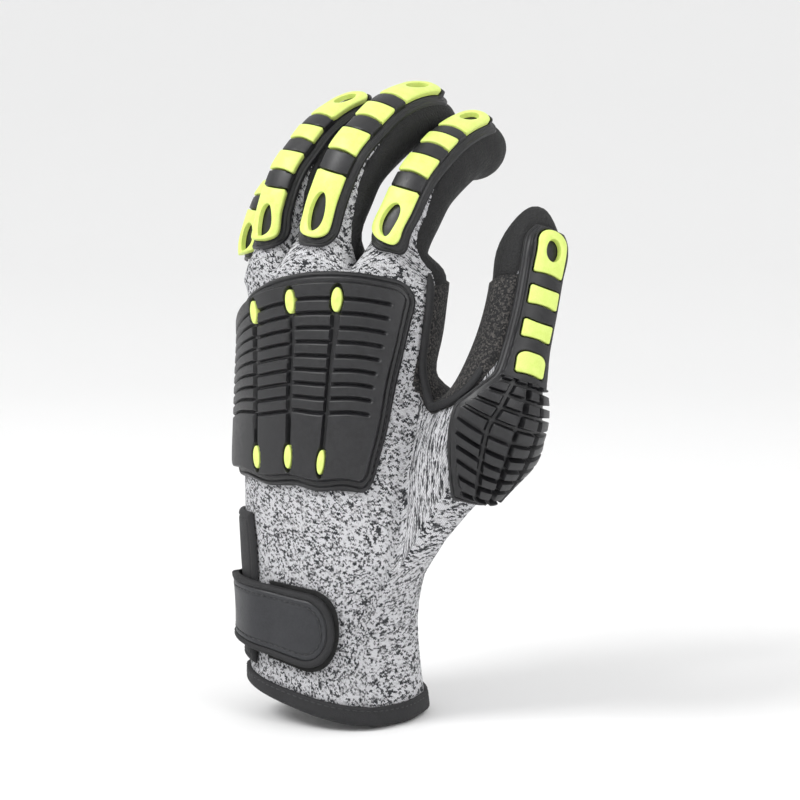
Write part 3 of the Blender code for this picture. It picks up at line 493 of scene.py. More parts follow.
knit, tree, shader = new_material("melange_knit", (0.5, 0.5, 0.5), 0.92)
uv_map = add_node(tree, "ShaderNodeUVMap", uv_map="stitches")
split = add_node(tree, "ShaderNodeSeparateXYZ", {0: uv_map.outputs[0]})
across = maths(tree, "MULTIPLY", maths(tree, "ABSOLUTE", maths(tree, "SUBTRACT",
               maths(tree, "FRACT", split.outputs["X"]), 0.5)), 2)
slanted = maths(tree, "ADD", split.outputs["Y"], maths(tree, "MULTIPLY", across, 0.8))
wobble = add_node(tree, "ShaderNodeTexNoise", {"Vector": uv_map.outputs[0], "Scale": 0.9, "Detail": 1.0})
pull = add_node(tree, "ShaderNodeVectorMath", {0: wobble.outputs["Color"], 1: (0.5, 0.5, 0.5)},
                operation="SUBTRACT")
pulled = add_node(tree, "ShaderNodeVectorMath", {0: pull.outputs[0], 1: (2.6, 2.2, 0)}, operation="MULTIPLY")
loose = add_node(tree, "ShaderNodeCombineXYZ", {0: split.outputs["X"], 1: slanted})
loose = add_node(tree, "ShaderNodeVectorMath", {0: loose.outputs[0], 1: pulled.outputs[0]}, operation="ADD")
leaf = add_node(tree, "ShaderNodeVectorMath", {0: loose.outputs[0]}, operation="FLOOR")
chance = add_node(tree, "ShaderNodeTexWhiteNoise", {"Vector": leaf.outputs[0]}, noise_dimensions="3D")
patchy = add_node(tree, "ShaderNodeTexNoise", {"Vector": uv_map.outputs[0], "Scale": 0.12, "Detail": 2.0})
mixed = maths(tree, "ADD", maths(tree, "MULTIPLY", chance.outputs["Value"], 0.8),
              maths(tree, "MULTIPLY", patchy.outputs["Fac"], 0.3))
yarns = add_ramp(tree, mixed, (0.30, (0.035, 0.037, 0.043)), (0.37, (0.11, 0.11, 0.1144)),
                 (0.44, (0.40, 0.40, 0.416)), (0.58, (0.86, 0.86, 0.89)))
round_along = maths(tree, "SINE", maths(tree, "MULTIPLY", maths(tree, "FRACT", slanted), math.pi))
round_across = maths(tree, "SINE", maths(tree, "MULTIPLY", across, math.pi))
stitch_height = maths(tree, "MULTIPLY", maths(tree, "POWER", round_along, 0.6),
                      maths(tree, "POWER", maths(tree, "ABSOLUTE", round_across), 0.6))
# The yarns' colour is multiplied by the stitch height, from 0.45 in the hollows between the stitches up to 1
# on their crowns: painted shade between the stitches.
painted_stitch_shade = maths(tree, "ADD", 0.45, maths(tree, "MULTIPLY", stitch_height, 0.55))
yarns_with_painted_shade = add_node(tree, "ShaderNodeMix", {"Factor": 1.0, 6: yarns, 7: painted_stitch_shade},
                  data_type="RGBA", blend_type="MULTIPLY")
tree.links.new(yarns_with_painted_shade.outputs[2], shader.inputs["Base Color"])
stitch_bump = add_node(tree, "ShaderNodeBump",
                       {"Height": stitch_height, "Strength": 0.8, "Distance": 0.25 * MM})
tree.links.new(stitch_bump.outputs[0], shader.inputs["Normal"])

stitch_uv = np.zeros(skin_places.shape)
for number, net in enumerate([palm_net, *finger_nets.values()]):
    rings = np.array([[points[i] for i in ring] for ring in net])
    runs = np.cumsum([np.zeros(rings.shape[1]), *np.linalg.norm(np.diff(rings, axis=0), axis=2)], axis=0)
    widths = np.linalg.norm(np.roll(rings, -1, axis=1) - rings, axis=2)[1:].mean(axis=0)
    wales = np.cumsum([0, *np.maximum(1, np.round(widths / WALE)), 0])
    chosen = skin_nets == number
    stitch_uv[chosen, :, 0] = np.interp(skin_places[chosen, :, 0], range(len(wales)), wales)
    column, row = skin_places[chosen, :, 0] % rings.shape[1], skin_places[chosen, :, 1]
    c, r = np.floor(column).astype(int), np.minimum(np.floor(row).astype(int), len(rings) - 2)
    d, right, up = (c + 1) % rings.shape[1], column - c, row - r
    low = runs[r, c] * (1 - right) + runs[r, d] * right
    high = runs[r + 1, c] * (1 - right) + runs[r + 1, d] * right
    stitch_uv[chosen, :, 1] = (low * (1 - up) + high * up) / COURSE

rng = np.random.default_rng(7)
CREASES = 26
CREASE_DEPTH = 0.35 * MM
CREASE_REACH = 18 * MM
CREASE_WAVE = 3.5 * MM
crease_lift = np.zeros(len(skin_points))
for _ in range(CREASES):  # shallow creases at random places, all over the knit
    middle = skin_points[rng.integers(len(skin_points))]
    direction = rng.normal(size=3) * (1, 1, 0.5)
    direction /= np.linalg.norm(direction)
    offset = skin_points - middle
    run = offset @ direction
    reach = np.exp(-np.sum(offset**2, axis=1) / (2 * CREASE_REACH**2))
    crease_lift += CREASE_DEPTH * reach * np.cos(run / CREASE_WAVE)
crease_lift = np.clip(crease_lift, -CREASE_DEPTH, CREASE_DEPTH)
knit_points = skin_points + skin_normals * crease_lift[:, None]
place, corners, uv = walled(skin_faces, skin_points - skin_normals * KNIT_WALL, knit_points, stitch_uv)
liner = new_piece("knitted_liner", place, corners, knit, uv, 180)
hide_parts("knit_liner")

# Palm dip
# The palm, the fronts of the fingers and all the tips are dipped in black nitrile with a sandy finish. The
# dip soaks into the knit, so its edge slides down into the stitches instead of ending in a step.
DIP_THICKNESS = 0.95 * MM
DIP_EDGE = 1.1 * MM  # run over which it rises out of the knit
DIP_HIDDEN = -0.7 * MM
PALM_COLUMN = 6.4 * MM
FINGER_COLUMN = 5.2 * MM
PALM_ROW = 16 * MM
FINGER_ROW = 12 * MM
DIP_PALM_COLUMNS = (19.0, 36.3)  # thumb's side and little finger's side
DIP_PALM_ROW = 2.85
DIP_TIP_ROW = 7.0
DIP_THUMB_TIP_ROW = 7.4


def wedge(row, open_at_root, open_at_tip, closed_row):
    """The columns of knit left bare beside a finger's guard, which narrow towards the tip."""
    return open_at_tip + (open_at_root - open_at_tip) * np.clip(1 - row / closed_row, 0, 1)


INDEX_NET = 4
THUMB_NET = 5
BARE_AT_ROOT = 1.55
INDEX_BARE_AT_ROOT = 0.75  # on its thumb's side
BARE_AT_TIP = -0.45
BARE_ROWS = 4.4
BESIDE_GUARD = (3.6, 12.4)  # columns beside a finger's guard, where the bare knit begins


def dip_depth(net, column, row):
    """How far inside the dip's edge a place of a net lies, in metres."""
    thumb_side = DIP_PALM_COLUMNS[0] - 1.9 * ease((row - 6.6) / 1.4)
    palm = np.minimum(column - thumb_side, DIP_PALM_COLUMNS[1] - column) * PALM_COLUMN
    palm = np.minimum(palm, (row - DIP_PALM_ROW) * PALM_ROW)
    turned = np.where(column < 2, column + SIDES, column)
    bare = wedge(row, BARE_AT_ROOT, BARE_AT_TIP, BARE_ROWS)
    thumb_bare = np.where(net == INDEX_NET, wedge(row, INDEX_BARE_AT_ROOT, BARE_AT_TIP, BARE_ROWS), bare)
    sides = np.minimum(turned - BESIDE_GUARD[0] - thumb_bare, BESIDE_GUARD[1] - bare - turned) * FINGER_COLUMN
    finger = np.maximum(sides, (row - DIP_TIP_ROW) * FINGER_ROW)
    upper = ease((row - 5.2) / 0.9)
    thumb = np.minimum(turned - 4.9 + 0.23 * row, 7.0 + 5.5 * upper - turned) * FINGER_COLUMN
    thumb = np.maximum(thumb, (row - DIP_THUMB_TIP_ROW) * FINGER_ROW)
    return np.where(net == 0, palm, np.where(net == THUMB_NET, thumb, finger))


def on_points(values):
    """Values of the face corners, averaged at each point."""
    total = np.bincount(skin_faces.ravel(), values.ravel(), len(skin_points))
    return total / np.bincount(skin_faces.ravel(), minlength=len(skin_points))


corner_nets = np.repeat(skin_nets[:, None], 4, axis=1)
dip_at = on_points(dip_depth(corner_nets, skin_places[..., 0], skin_places[..., 1]))


def add_coat(name, depth, hidden, lift, edge, wall_floor, material):
    """A coat over the part of the skin where depth is positive, whose rim slides under the knit."""
    lift_at = hidden + (lift - hidden) * ease((depth + edge) / (2 * edge))
    chosen = skin_faces[(depth[skin_faces] > -2.5 * edge).any(axis=1)]
    corners, base, normals, lift_at = compact(chosen, skin_points, skin_normals, lift_at)
    high = base + normals * lift_at[:, None]
    low = base + normals * np.minimum(lift_at - 0.3 * MM, wall_floor)[:, None]
    place, corners, _ = walled(corners, low, high)
    return new_piece(name, place, corners, material, None, 180)


def grain_group():
    """Fine grain of a moulded or coated surface: a height, and a mask of its high spots."""
    group = bpy.data.node_groups.new("surface_grain", "ShaderNodeTree")
    group.interface.new_socket("Size", in_out="INPUT", socket_type="NodeSocketFloat")
    group.interface.new_socket("Height", in_out="OUTPUT", socket_type="NodeSocketFloat")
    group.interface.new_socket("Spots", in_out="OUTPUT", socket_type="NodeSocketFloat")
    inside = add_node(group, "NodeGroupInput")
    place = add_node(group, "ShaderNodeTexCoord").outputs["Object"]
    scale = maths(group, "DIVIDE", 1, inside.outputs["Size"])
    noise = add_node(group, "ShaderNodeTexNoise", {"Vector": place, "Scale": scale, "Detail": 3.0})
    broad = add_node(group, "ShaderNodeTexNoise",
                     {"Vector": place, "Scale": maths(group, "DIVIDE", scale, 6), "Detail": 2.0})
    outside = add_node(group, "NodeGroupOutput")
    group.links.new(noise.outputs["Fac"], outside.inputs["Height"])
    spots = maths(group, "ADD", maths(group, "MULTIPLY", noise.outputs["Fac"], 0.5),
                  maths(group, "MULTIPLY", broad.outputs["Fac"], 0.5))
    group.links.new(spots, outside.inputs["Spots"])
    return group


grain = grain_group()


def add_grain(tree, shader, size, depth, dark, light, rough):
    """The grain in a material: bump, two tones of colour, and a range of roughness."""
    made = add_node(tree, "ShaderNodeGroup", node_tree=grain)
    made.inputs["Size"].default_value = size
    bump = add_node(tree, "ShaderNodeBump",
                    {"Height": made.outputs["Height"], "Strength": 1.0, "Distance": depth})
    tree.links.new(bump.outputs[0], shader.inputs["Normal"])
    tones = add_node(tree, "ShaderNodeMapRange", {"Value": made.outputs["Spots"], 1: 0.38, 2: 0.62})
    mix = add_node(tree, "ShaderNodeMix", {0: tones.outputs[0], 6: (*dark, 1), 7: (*light, 1)},
                   data_type="RGBA")
    tree.links.new(mix.outputs[2], shader.inputs["Base Color"])
    spread = add_node(tree, "ShaderNodeMapRange", {"Value": made.outputs["Spots"], 1: 0.35, 2: 0.65,
                                                   3: rough[0], 4: rough[1]})
    tree.links.new(spread.outputs[0], shader.inputs["Roughness"])


sandy, tree, shader = new_material("sandy_nitrile", (0.012, 0.012, 0.013), 0.85)
add_grain(tree, shader, 0.85 * MM, 0.75 * MM, (0.004, 0.004, 0.004), (0.017, 0.017, 0.018), (0.62, 0.95))
coating = add_coat("palm_dip", dip_at, DIP_HIDDEN, DIP_THICKNESS, DIP_EDGE, -0.9 * MM, sandy)
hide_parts("palm_coating")

# Web patch
# A piece of black cloth flecked with grey, sewn over the web between thumb and forefinger where gloves wear
# out first. A narrow black tape binds its edge on the back of the hand.
PATCH_TOP = 2.0 * MM
PATCH_EDGE = 0.7 * MM
PATCH_PALM_COLUMNS = (16.8, 20.0)
PATCH_PALM_ROWS = (5.8, 8.6)
PATCH_THUMB_COLUMN = 6.0
PATCH_THUMB_ROW = 5.9
FLECK_SCALE = 1700.0


def patch_depth(net, column, row):
    """How far inside the edge of the thumb's web patch a place lies, in metres."""
    palm = np.minimum(column - PATCH_PALM_COLUMNS[0], PATCH_PALM_COLUMNS[1] - column) * PALM_COLUMN
    palm = np.minimum(palm, np.minimum(PATCH_PALM_ROWS[1] - row, row - PATCH_PALM_ROWS[0]) * PALM_ROW)
    turned = np.where(column < 2, column + SIDES, column)
    upper_edge = 9 + np.minimum(row, 3.45)
    thumb = np.minimum(turned - PATCH_THUMB_COLUMN, upper_edge - turned) * FINGER_COLUMN
    thumb = np.minimum(thumb, (PATCH_THUMB_ROW - row) * FINGER_ROW)
    return np.where(net == 0, palm, np.where(net == THUMB_NET, thumb, -1))


patch_at = on_points(patch_depth(corner_nets, skin_places[..., 0], skin_places[..., 1]))
patch_cloth, tree, shader = new_material("patch_cloth", (0.035, 0.035, 0.036), 0.9)
flecks = add_node(tree, "ShaderNodeTexVoronoi",
                  {"Vector": add_node(tree, "ShaderNodeTexCoord").outputs["Object"], "Scale": FLECK_SCALE})
fleck_tone = add_ramp(tree, flecks.outputs["Color"], (0.45, (0.010, 0.010, 0.011)),
                      (0.95, (0.095, 0.088, 0.082)))
tree.links.new(fleck_tone, shader.inputs["Base Color"])
nap = add_node(tree, "ShaderNodeBump", {"Height": flecks.outputs["Distance"], "Strength": 0.7,
                                        "Distance": 0.4 * MM})
tree.links.new(nap.outputs[0], shader.inputs["Normal"])
patch = add_coat("thumb_web_patch", patch_at, -0.6 * MM, PATCH_TOP, PATCH_EDGE, -0.9 * MM, patch_cloth)
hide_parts("web_patch")

# Tapes
# Black woven tape is folded over the hem of the cuff and over the edge of the web patch, and sewn down along
# its inner edge. Its weave runs across the fold.
tape, tree, shader = new_material("black_tape", (0.016, 0.016, 0.017), 0.75)
add_grain(tree, shader, 0.45 * MM, 0.22 * MM, (0.006, 0.006, 0.007), (0.020, 0.020, 0.022), (0.62, 0.85))


def ring_faces(stations, count, closed):
    """Faces between rings of count points, closed on themselves or capped at both ends."""
    corners = []
    for s in range(stations if closed else stations - 1):
        low, high = s * count, (s + 1) % stations * count
        corners += [(low + k, low + (k + 1) % count, high + (k + 1) % count, high + k) for k in range(count)]
    if not closed:
        corners += [tuple(range(count))[::-1], tuple(range((stations - 1) * count, stations * count))]
    return corners


def add_sweep(name, rings, material, closed):
    """A tube through rings of points, closed on itself or capped at its ends."""
    return new_piece(name, rings.reshape(-1, 3), ring_faces(*rings.shape[:2], closed), material, None, 60)


def smooth_line(line, rounds):
    """Averages each inner entry of a line with its two neighbours, in place."""
    for _ in range(rounds):
        line[1:-1] = (line[:-2] + line[1:-1] + line[2:]) / 3


def palm_row(height):
    """The palm net's row at a height above the hem."""
    height = np.asarray(height, float)
    below = height / palm_heights[1]
    return np.where(height < palm_heights[1], below, np.interp(height, palm_heights, range(len(SECTIONS))))


TAPE_ROUND = 8  # points round the fold
TAPE_HEIGHT = 4.5 * MM
TAPE_TOP = 1.5 * MM
TAPE_FOLD = 1.5 * MM
HEM_STATIONS = 216
profile = [(TAPE_HEIGHT, 0.1 * MM), (TAPE_HEIGHT, TAPE_TOP * 0.75), (TAPE_HEIGHT - 0.4 * MM, TAPE_TOP),
           (TAPE_HEIGHT - 1.2 * MM, TAPE_TOP * 0.93), (TAPE_HEIGHT / 2, TAPE_TOP), (0.8 * MM, TAPE_TOP)]
middle = (TAPE_TOP - KNIT_WALL - 1.2 * MM) / 2
for k in range(TAPE_ROUND + 1):
    turn = math.pi * k / TAPE_ROUND
    profile.append((-TAPE_FOLD * math.sin(turn), middle + (TAPE_TOP - middle) * math.cos(turn)))
profile += [(TAPE_HEIGHT, -KNIT_WALL - 1.2 * MM), (TAPE_HEIGHT, -KNIT_WALL - 0.1 * MM)]
heights, lifts = np.array(profile).T
turns = np.arange(HEM_STATIONS) / HEM_STATIONS * len(palm_net[0])
rings = surfaces["palm"].at(palm_row(heights)[None, :], turns[:, None], lifts[None, :])
binding = add_sweep("hem_tape", rings[:, ::-1], tape, True)
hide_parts("cuff_binding")

WEB_TAPE_HALF = 1.6 * MM
WEB_TAPE_LIFT = 1.5 * MM
WEB_TAPE_HEIGHT = 1.3 * MM
WEB_TAPE_SINK = 1.2 * MM  # how far its tapered ends go down
WEB_TAPE_SIDES = 14
route = [surfaces["palm"].at(row, PATCH_PALM_COLUMNS[0], WEB_TAPE_LIFT) for row in np.linspace(8.75, 6.2, 22)]
route += [surfaces["thumb"].at(row, 9 + min(row, 2.75), WEB_TAPE_LIFT) for row in np.linspace(0.25, 3.3, 26)]
route = np.array(route)
for _ in range(6):
    route[1:-1] = (route[:-2] + 2 * route[1:-1] + route[2:]) / 4
ahead = np.gradient(route, axis=0)
ahead /= np.linalg.norm(ahead, axis=1, keepdims=True)
nearest = [int(np.argmin(np.sum((skin_points - point) ** 2, axis=1))) for point in route]
up = skin_normals[nearest]
smooth_line(up, 4)
up -= ahead * np.sum(up * ahead, axis=1, keepdims=True)
up /= np.linalg.norm(up, axis=1, keepdims=True)
aside = np.cross(up, ahead)
turns = 2 * math.pi * np.arange(WEB_TAPE_SIDES) / WEB_TAPE_SIDES
steps = np.arange(len(route))
taper = np.sqrt(np.clip(np.minimum(steps + 0.4, len(route) - 0.6 - steps) / 4, 0, 1))[:, None, None]
sink = (1 - taper) * WEB_TAPE_SINK
rings = (route[:, None] + aside[:, None] * (np.cos(turns) * WEB_TAPE_HALF)[None, :, None] * taper
         + up[:, None] * ((np.sin(turns) * WEB_TAPE_HEIGHT)[None, :, None] * taper - sink))
web_tape = add_sweep("web_patch_tape", rings[:, ::-1], tape, False)

# Finger and thumb guards
# Each finger carries a strip of moulded rubber, sewn through its flat border. Bright rubber blocks and long
# oval loops sit in pockets of the black body and stand a little proud of the bars between them.
STRIP_CLEARANCE = 0.5 * MM
STRIP_ROOT_LIFT = 0.9 * MM
STRIP_RIM = 0.6 * MM
STRIP_RIM_SLOPE = 0.7 * MM
SEAM_INSET = 1.35 * MM
SEAM_HALF = 0.3 * MM
SEAM_DEPTH = 0.35 * MM
STRIP_FLANGE = 1.3 * MM
STRIP_FLOOR = 1.7 * MM
STRIP_BAR = 3.6 * MM
INLAY_TOP = 4.1 * MM
STRIP_HALF = 7.6 * MM
STRIP_ROWS = (0.31, 6.92)
STRIP_COUNTS = (61, 230)  # points across and along
STRIP_ROUND = (7.4 * MM, 4.8 * MM)  # corner radii at the root and at the tip
BORDER = 2.5 * MM
BODY_SLOPE = 0.7 * MM
INLAY_HALF = 4.5 * MM
INLAY_SPARE = 0.35 * MM  # from an inlay to its pocket's wall
Pocket = namedtuple("Pocket", "name start end round_start round_end hole_start hole_end")
FINGER_POCKETS = [
    Pocket("loop", 0.66, 2.53, 4.4, 0.6, 0.90, 2.06),
    Pocket("block_1", 2.96, 3.57, 0.6, 0.6, 0, 0),
    Pocket("block_2", 4.03, 4.64, 0.6, 0.6, 0, 0),
    Pocket("tip_loop", 5.07, 6.62, 0.7, 4.3, 5.62, 6.32),
]
THUMB_POCKETS = [
    Pocket("block_1", 3.16, 3.82, 0.9, 3.2, 0, 0),
    Pocket("block_2", 4.22, 4.71, 0.8, 0.8, 0, 0),
    Pocket("block_3", 5.11, 5.64, 0.8, 0.8, 0, 0),
    Pocket("tip_loop", 6.00, 7.24, 0.8, 4.3, 6.42, 7.02),
]
HOLE_HALF = 2.25 * MM
INLAY_POINTS = 84  # round an outline
INLAY_EDGE = 0.55 * MM  # radius of its rounded edge
INLAY_DENT = 0.55 * MM  # hollow of a square end between its two corners


def inside_oblong(x, y, half, start, end, round_start, round_end, dent=0.0):
    """How far inside a rectangle with a corner radius at each end a point lies; square ends may be dented."""
    middle = (start + end) / 2
    radius = np.where(y < middle, round_start, round_end)
    reach = (end - start) / 2 - dent * (radius < 1 * MM) * np.clip(1 - (x / half) ** 2, 0, 1)
    qx, qy = abs(x) - half + radius, abs(y - middle) - reach + radius
    outside = np.hypot(np.maximum(qx, 0), np.maximum(qy, 0))
    return radius - outside - np.minimum(np.maximum(qx, qy), 0)


def bell(value, middle, width):
    """1 at the middle, falling to nothing beyond about twice the width."""
    return np.exp(-(((value - middle) / width) ** 2))


def grid_faces(grid):
    """The faces of a grid of numbered points."""
    return np.stack([grid[:-1, :-1], grid[:-1, 1:], grid[1:, 1:], grid[1:, :-1]], axis=-1).reshape(-1, 4)


def add_relief(name, place, edges, y_range, height, counts, material):
    """A closed moulding whose top follows a height over (x, y), with edges giving its left and right x."""
    across_count, along_count = counts
    share = np.linspace(0, 1, along_count)
    y = y_range[0] + (y_range[1] - y_range[0]) * (0.8 * share + 0.2 * (0.5 - 0.5 * np.cos(math.pi * share)))
    left, right = edges(y)
    top_share = np.linspace(0, 1, across_count)
    under_share = np.linspace(0, 1, 7)
    layers = []
    for shares, under in ((top_share, False), (under_share, True)):
        x = left[:, None] + (right - left)[:, None] * shares
        grid_y = np.repeat(y[:, None], len(shares), axis=1)
        layers.append(place(x, grid_y, np.zeros_like(x) if under else height(x, grid_y)))
    top, under = layers
    number = np.arange(top.shape[0] * across_count).reshape(top.shape[:2])
    base = np.arange(under.shape[0] * len(under_share)).reshape(under.shape[:2]) + number.size
    corners = []
    for grid, turned in ((number, False), (base, True)):
        quads = grid_faces(grid)
        corners += (quads[:, ::-1] if turned else quads).tolist()
    for a, b in zip(range(along_count - 1), range(1, along_count)):
        corners.append((number[b, 0], base[b, 0], base[a, 0], number[a, 0]))
        corners.append((number[a, -1], base[a, -1], base[b, -1], number[b, -1]))
    corners.append((*base[0], *number[0][::-1]))
    corners.append((*number[-1], *base[-1][::-1]))
    return new_piece(name, np.concatenate([top.reshape(-1, 3), under.reshape(-1, 3)]), corners, material)


def add_inlay(name, place, depth, middle, bottom, top, hole, material, crown=0.25 * MM):
    """A slab with rounded edges inside an outline, with an oval hole (half width, half length) if given."""
    count = INLAY_POINTS
    turns = -2 * math.pi * np.arange(count) / count
    ray_x, ray_y = np.sin(-turns), np.cos(turns)

    def outline(inset):
        near, far = np.zeros(count), np.full(count, 40 * MM)
        for _ in range(22):
            reach = (near + far) / 2
            inside = depth(ray_x * reach, middle + ray_y * reach) > inset
            near, far = np.where(inside, reach, near), np.where(inside, far, reach)
        return ray_x * near, middle + ray_y * near

    rings = [(*outline(0), bottom), (*outline(0), top - INLAY_EDGE)]
    for k in (1, 2, 3):
        turn = math.pi / 2 * k / 3
        rings.append((*outline(INLAY_EDGE * (1 - math.cos(turn))), top - INLAY_EDGE * (1 - math.sin(turn))))
    x, y, _ = rings[-1]
    if hole:
        inner_x, inner_y = ray_x * hole[0], middle + ray_y * hole[1]
        for share, drop in ((0.5, 0), (0.85, 0.05), (1.0, 0.35)):
            rings.append((x + (inner_x - x) * share, y + (inner_y - y) * share,
                          top + (crown if share == 0.5 else 0) - drop * MM))
        rings.append((inner_x, inner_y, bottom))
    else:
        for share in (0.3, 0.6, 0.85):
            rings.append((x * (1 - share), middle + (y - middle) * (1 - share), top + crown * ease(share)))
    points_3d = np.array([place(x, y, np.full(count, lift)) for x, y, lift in rings])
    corners = [face[::-1] for face in ring_faces(len(rings), count, bool(hole))]
    return new_piece(name, points_3d.reshape(-1, 3), corners, material)


rubber, tree, shader = new_material("black_rubber", (0.012, 0.012, 0.013), 0.45)
add_grain(tree, shader, 0.30 * MM, 0.05 * MM, (0.008, 0.008, 0.009), (0.016, 0.016, 0.018), (0.34, 0.50))
bright, tree, shader = new_material("bright_rubber", (0.70, 0.84, 0.20), 0.45)
add_grain(tree, shader, 0.40 * MM, 0.04 * MM, (0.66, 0.80, 0.17), (0.74, 0.87, 0.23), (0.38, 0.52))


class Ruler:
    """Distances in metres along and across the back of a finger, against its net's rows and columns."""

    def __init__(self, surface):
        self.rows = np.linspace(0, STATIONS, 161)
        line = surface.at(self.rows, 2.0)
        self.runs = np.cumsum([0, *np.linalg.norm(np.diff(line, axis=0), axis=1)])
        self.widths = np.linalg.norm(surface.at(self.rows, 2.8) - surface.at(self.rows, 1.2), axis=1) / 1.6
        smooth_line(self.widths, 12)

    def run(self, row):
        return np.interp(row, self.rows, self.runs)

    def row(self, run):
        return np.interp(run, self.runs, self.rows)

    def column(self, x, row):
        return 2 + x / np.interp(row, self.rows, self.widths)


def pocket_depth(pocket, ruler, x, y, spare=0.0):
    """How far inside a pocket's inlay a point lies, with the inlay grown by spare."""
    return spare + inside_oblong(x, y, INLAY_HALF, ruler.run(pocket.start), ruler.run(pocket.end),
                                 pocket.round_start * MM, pocket.round_end * MM, INLAY_DENT)


def border_height(depth):
    """The height of a strip's flat border, with its sewn groove."""
    height = STRIP_RIM + (STRIP_FLANGE - STRIP_RIM) * ease(depth / STRIP_RIM_SLOPE)
    return height - SEAM_DEPTH * bell(depth, SEAM_INSET, SEAM_HALF)


def moulded(depth, cut):
    """The height of a strip: border, body, and pockets."""
    body = ease((depth - BORDER) / BODY_SLOPE)
    height = border_height(depth) + (STRIP_BAR - STRIP_FLANGE) * body
    return height - (STRIP_BAR - STRIP_FLOOR) * cut * body


def pockets_cut(pockets, ruler, x, y):
    """1 inside the pockets and 0 outside them."""
    cut = 0
    for pocket in pockets:
        cut = np.maximum(cut, ease(0.5 + pocket_depth(pocket, ruler, x, y, INLAY_SPARE) / (0.5 * MM)))
    return cut


def add_pocket_inlays(name, place, pockets, ruler):
    """The bright blocks and loops of a finger's or the thumb's pockets."""
    for pocket in pockets:
        middle = (ruler.run(pocket.start) + ruler.run(pocket.end)) / 2
        hole = None
        if pocket.hole_end:
            middle = (ruler.run(pocket.hole_start) + ruler.run(pocket.hole_end)) / 2
            hole = HOLE_HALF, (ruler.run(pocket.hole_end) - ruler.run(pocket.hole_start)) / 2

        def depth(x, y, pocket=pocket):
            return pocket_depth(pocket, ruler, x, y)

        bottom = STRIP_FLOOR + 0.25 * MM
        inlay = add_inlay(f"{name}_bright_{pocket.name}", place, depth, middle, bottom, INLAY_TOP, hole,
                          bright)
        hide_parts(f"{name}_{pocket.name}")


for finger in FINGERS:
    surface = surfaces[finger.name]
    ruler = Ruler(surface)
    y_range = ruler.run(STRIP_ROWS[0]), ruler.run(STRIP_ROWS[1])

    def on_finger(x, y, lift, surface=surface, ruler=ruler):
        row = ruler.row(y)
        root_lift = STRIP_ROOT_LIFT * np.maximum(0, 1 - row)
        return surface.at(row, ruler.column(x, row), STRIP_CLEARANCE + root_lift + lift)

    def strip_edges(y, y_range=y_range):
        inset = np.zeros_like(y)
        for radius, run in ((STRIP_ROUND[0], y - y_range[0]), (STRIP_ROUND[1], y_range[1] - y)):
            run = np.clip(radius - run, 0, radius)
            inset = np.maximum(inset, radius - np.sqrt(radius**2 - run**2))
        return -(STRIP_HALF - inset), STRIP_HALF - inset

    def strip_height(x, y, y_range=y_range, ruler=ruler):
        depth = inside_oblong(x, y, STRIP_HALF, *y_range, *STRIP_ROUND)
        return moulded(depth, pockets_cut(FINGER_POCKETS, ruler, x, y))

    guard = add_relief(f"{finger.name}_strip", on_finger, strip_edges, y_range, strip_height,
                       STRIP_COUNTS, rubber)
    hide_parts(f"{finger.name}_guard")
    add_pocket_inlays(finger.name, on_finger, FINGER_POCKETS, ruler)

# The thumb's guard widens over the thumb's root into a pad of small ribs. Each entry is a row of the net and
# the columns of the pad's two edges there.
PadEdge = namedtuple("PadEdge", "row left right")
PAD_EDGES = [
    PadEdge(0.70, 1.30, 3.60), PadEdge(0.85, 0.80, 4.30), PadEdge(1.00, 0.35, 4.50),
    PadEdge(1.50, -0.30, 4.60), PadEdge(2.00, -0.75, 4.60), PadEdge(2.30, -0.45, 4.50),
    PadEdge(2.60, -0.15, 4.20), PadEdge(3.00, 0.45, 3.60), PadEdge(7.20, 0.45, 3.55),
    PadEdge(7.50, 1.00, 3.00),
]
PAD_CLEARANCE = 1.6 * MM
PAD_RIB = 4.2 * MM
PAD_FLOOR = 1.7 * MM
PAD_RIB_PITCH = 4.7 * MM
PAD_GROOVES = (-0.35, 0.02, 0.38)
PAD_GROOVE_HALF = (0.55 * MM, 0.5 * MM)  # along the thumb and across it
PAD_GROOVE_SLOPE = 0.4 * MM
PAD_FLANGE_SPARE = 1.2 * MM  # how much wider its border is on the side towards the fingers
PAD_NECK = 3.0  # the row where the pad ends and the strip begins
thumb_ruler = Ruler(surfaces["thumb"])
edge_rows = np.linspace(PAD_EDGES[0].row, PAD_EDGES[-1].row, 300)
edge_sides = []
for side in ("left", "right"):
    line = np.interp(edge_rows, [edge.row for edge in PAD_EDGES], [getattr(edge, side) for edge in PAD_EDGES])
    smooth_line(line, 40)
    edge_sides.append(line)


def on_thumb(x, y, lift):
    row = thumb_ruler.row(y)
    clearance = PAD_CLEARANCE + (STRIP_CLEARANCE - PAD_CLEARANCE) * ease(row - PAD_NECK + 1)
    clearance = clearance + STRIP_ROOT_LIFT * np.maximum(0, 1 - row)
    return surfaces["thumb"].at(row, thumb_ruler.column(x, row), clearance + lift)


def thumb_edges(y):
    row = thumb_ruler.row(y)
    width = np.interp(row, thumb_ruler.rows, thumb_ruler.widths)
    return tuple((np.interp(row, edge_rows, line) - 2) * width for line in edge_sides)


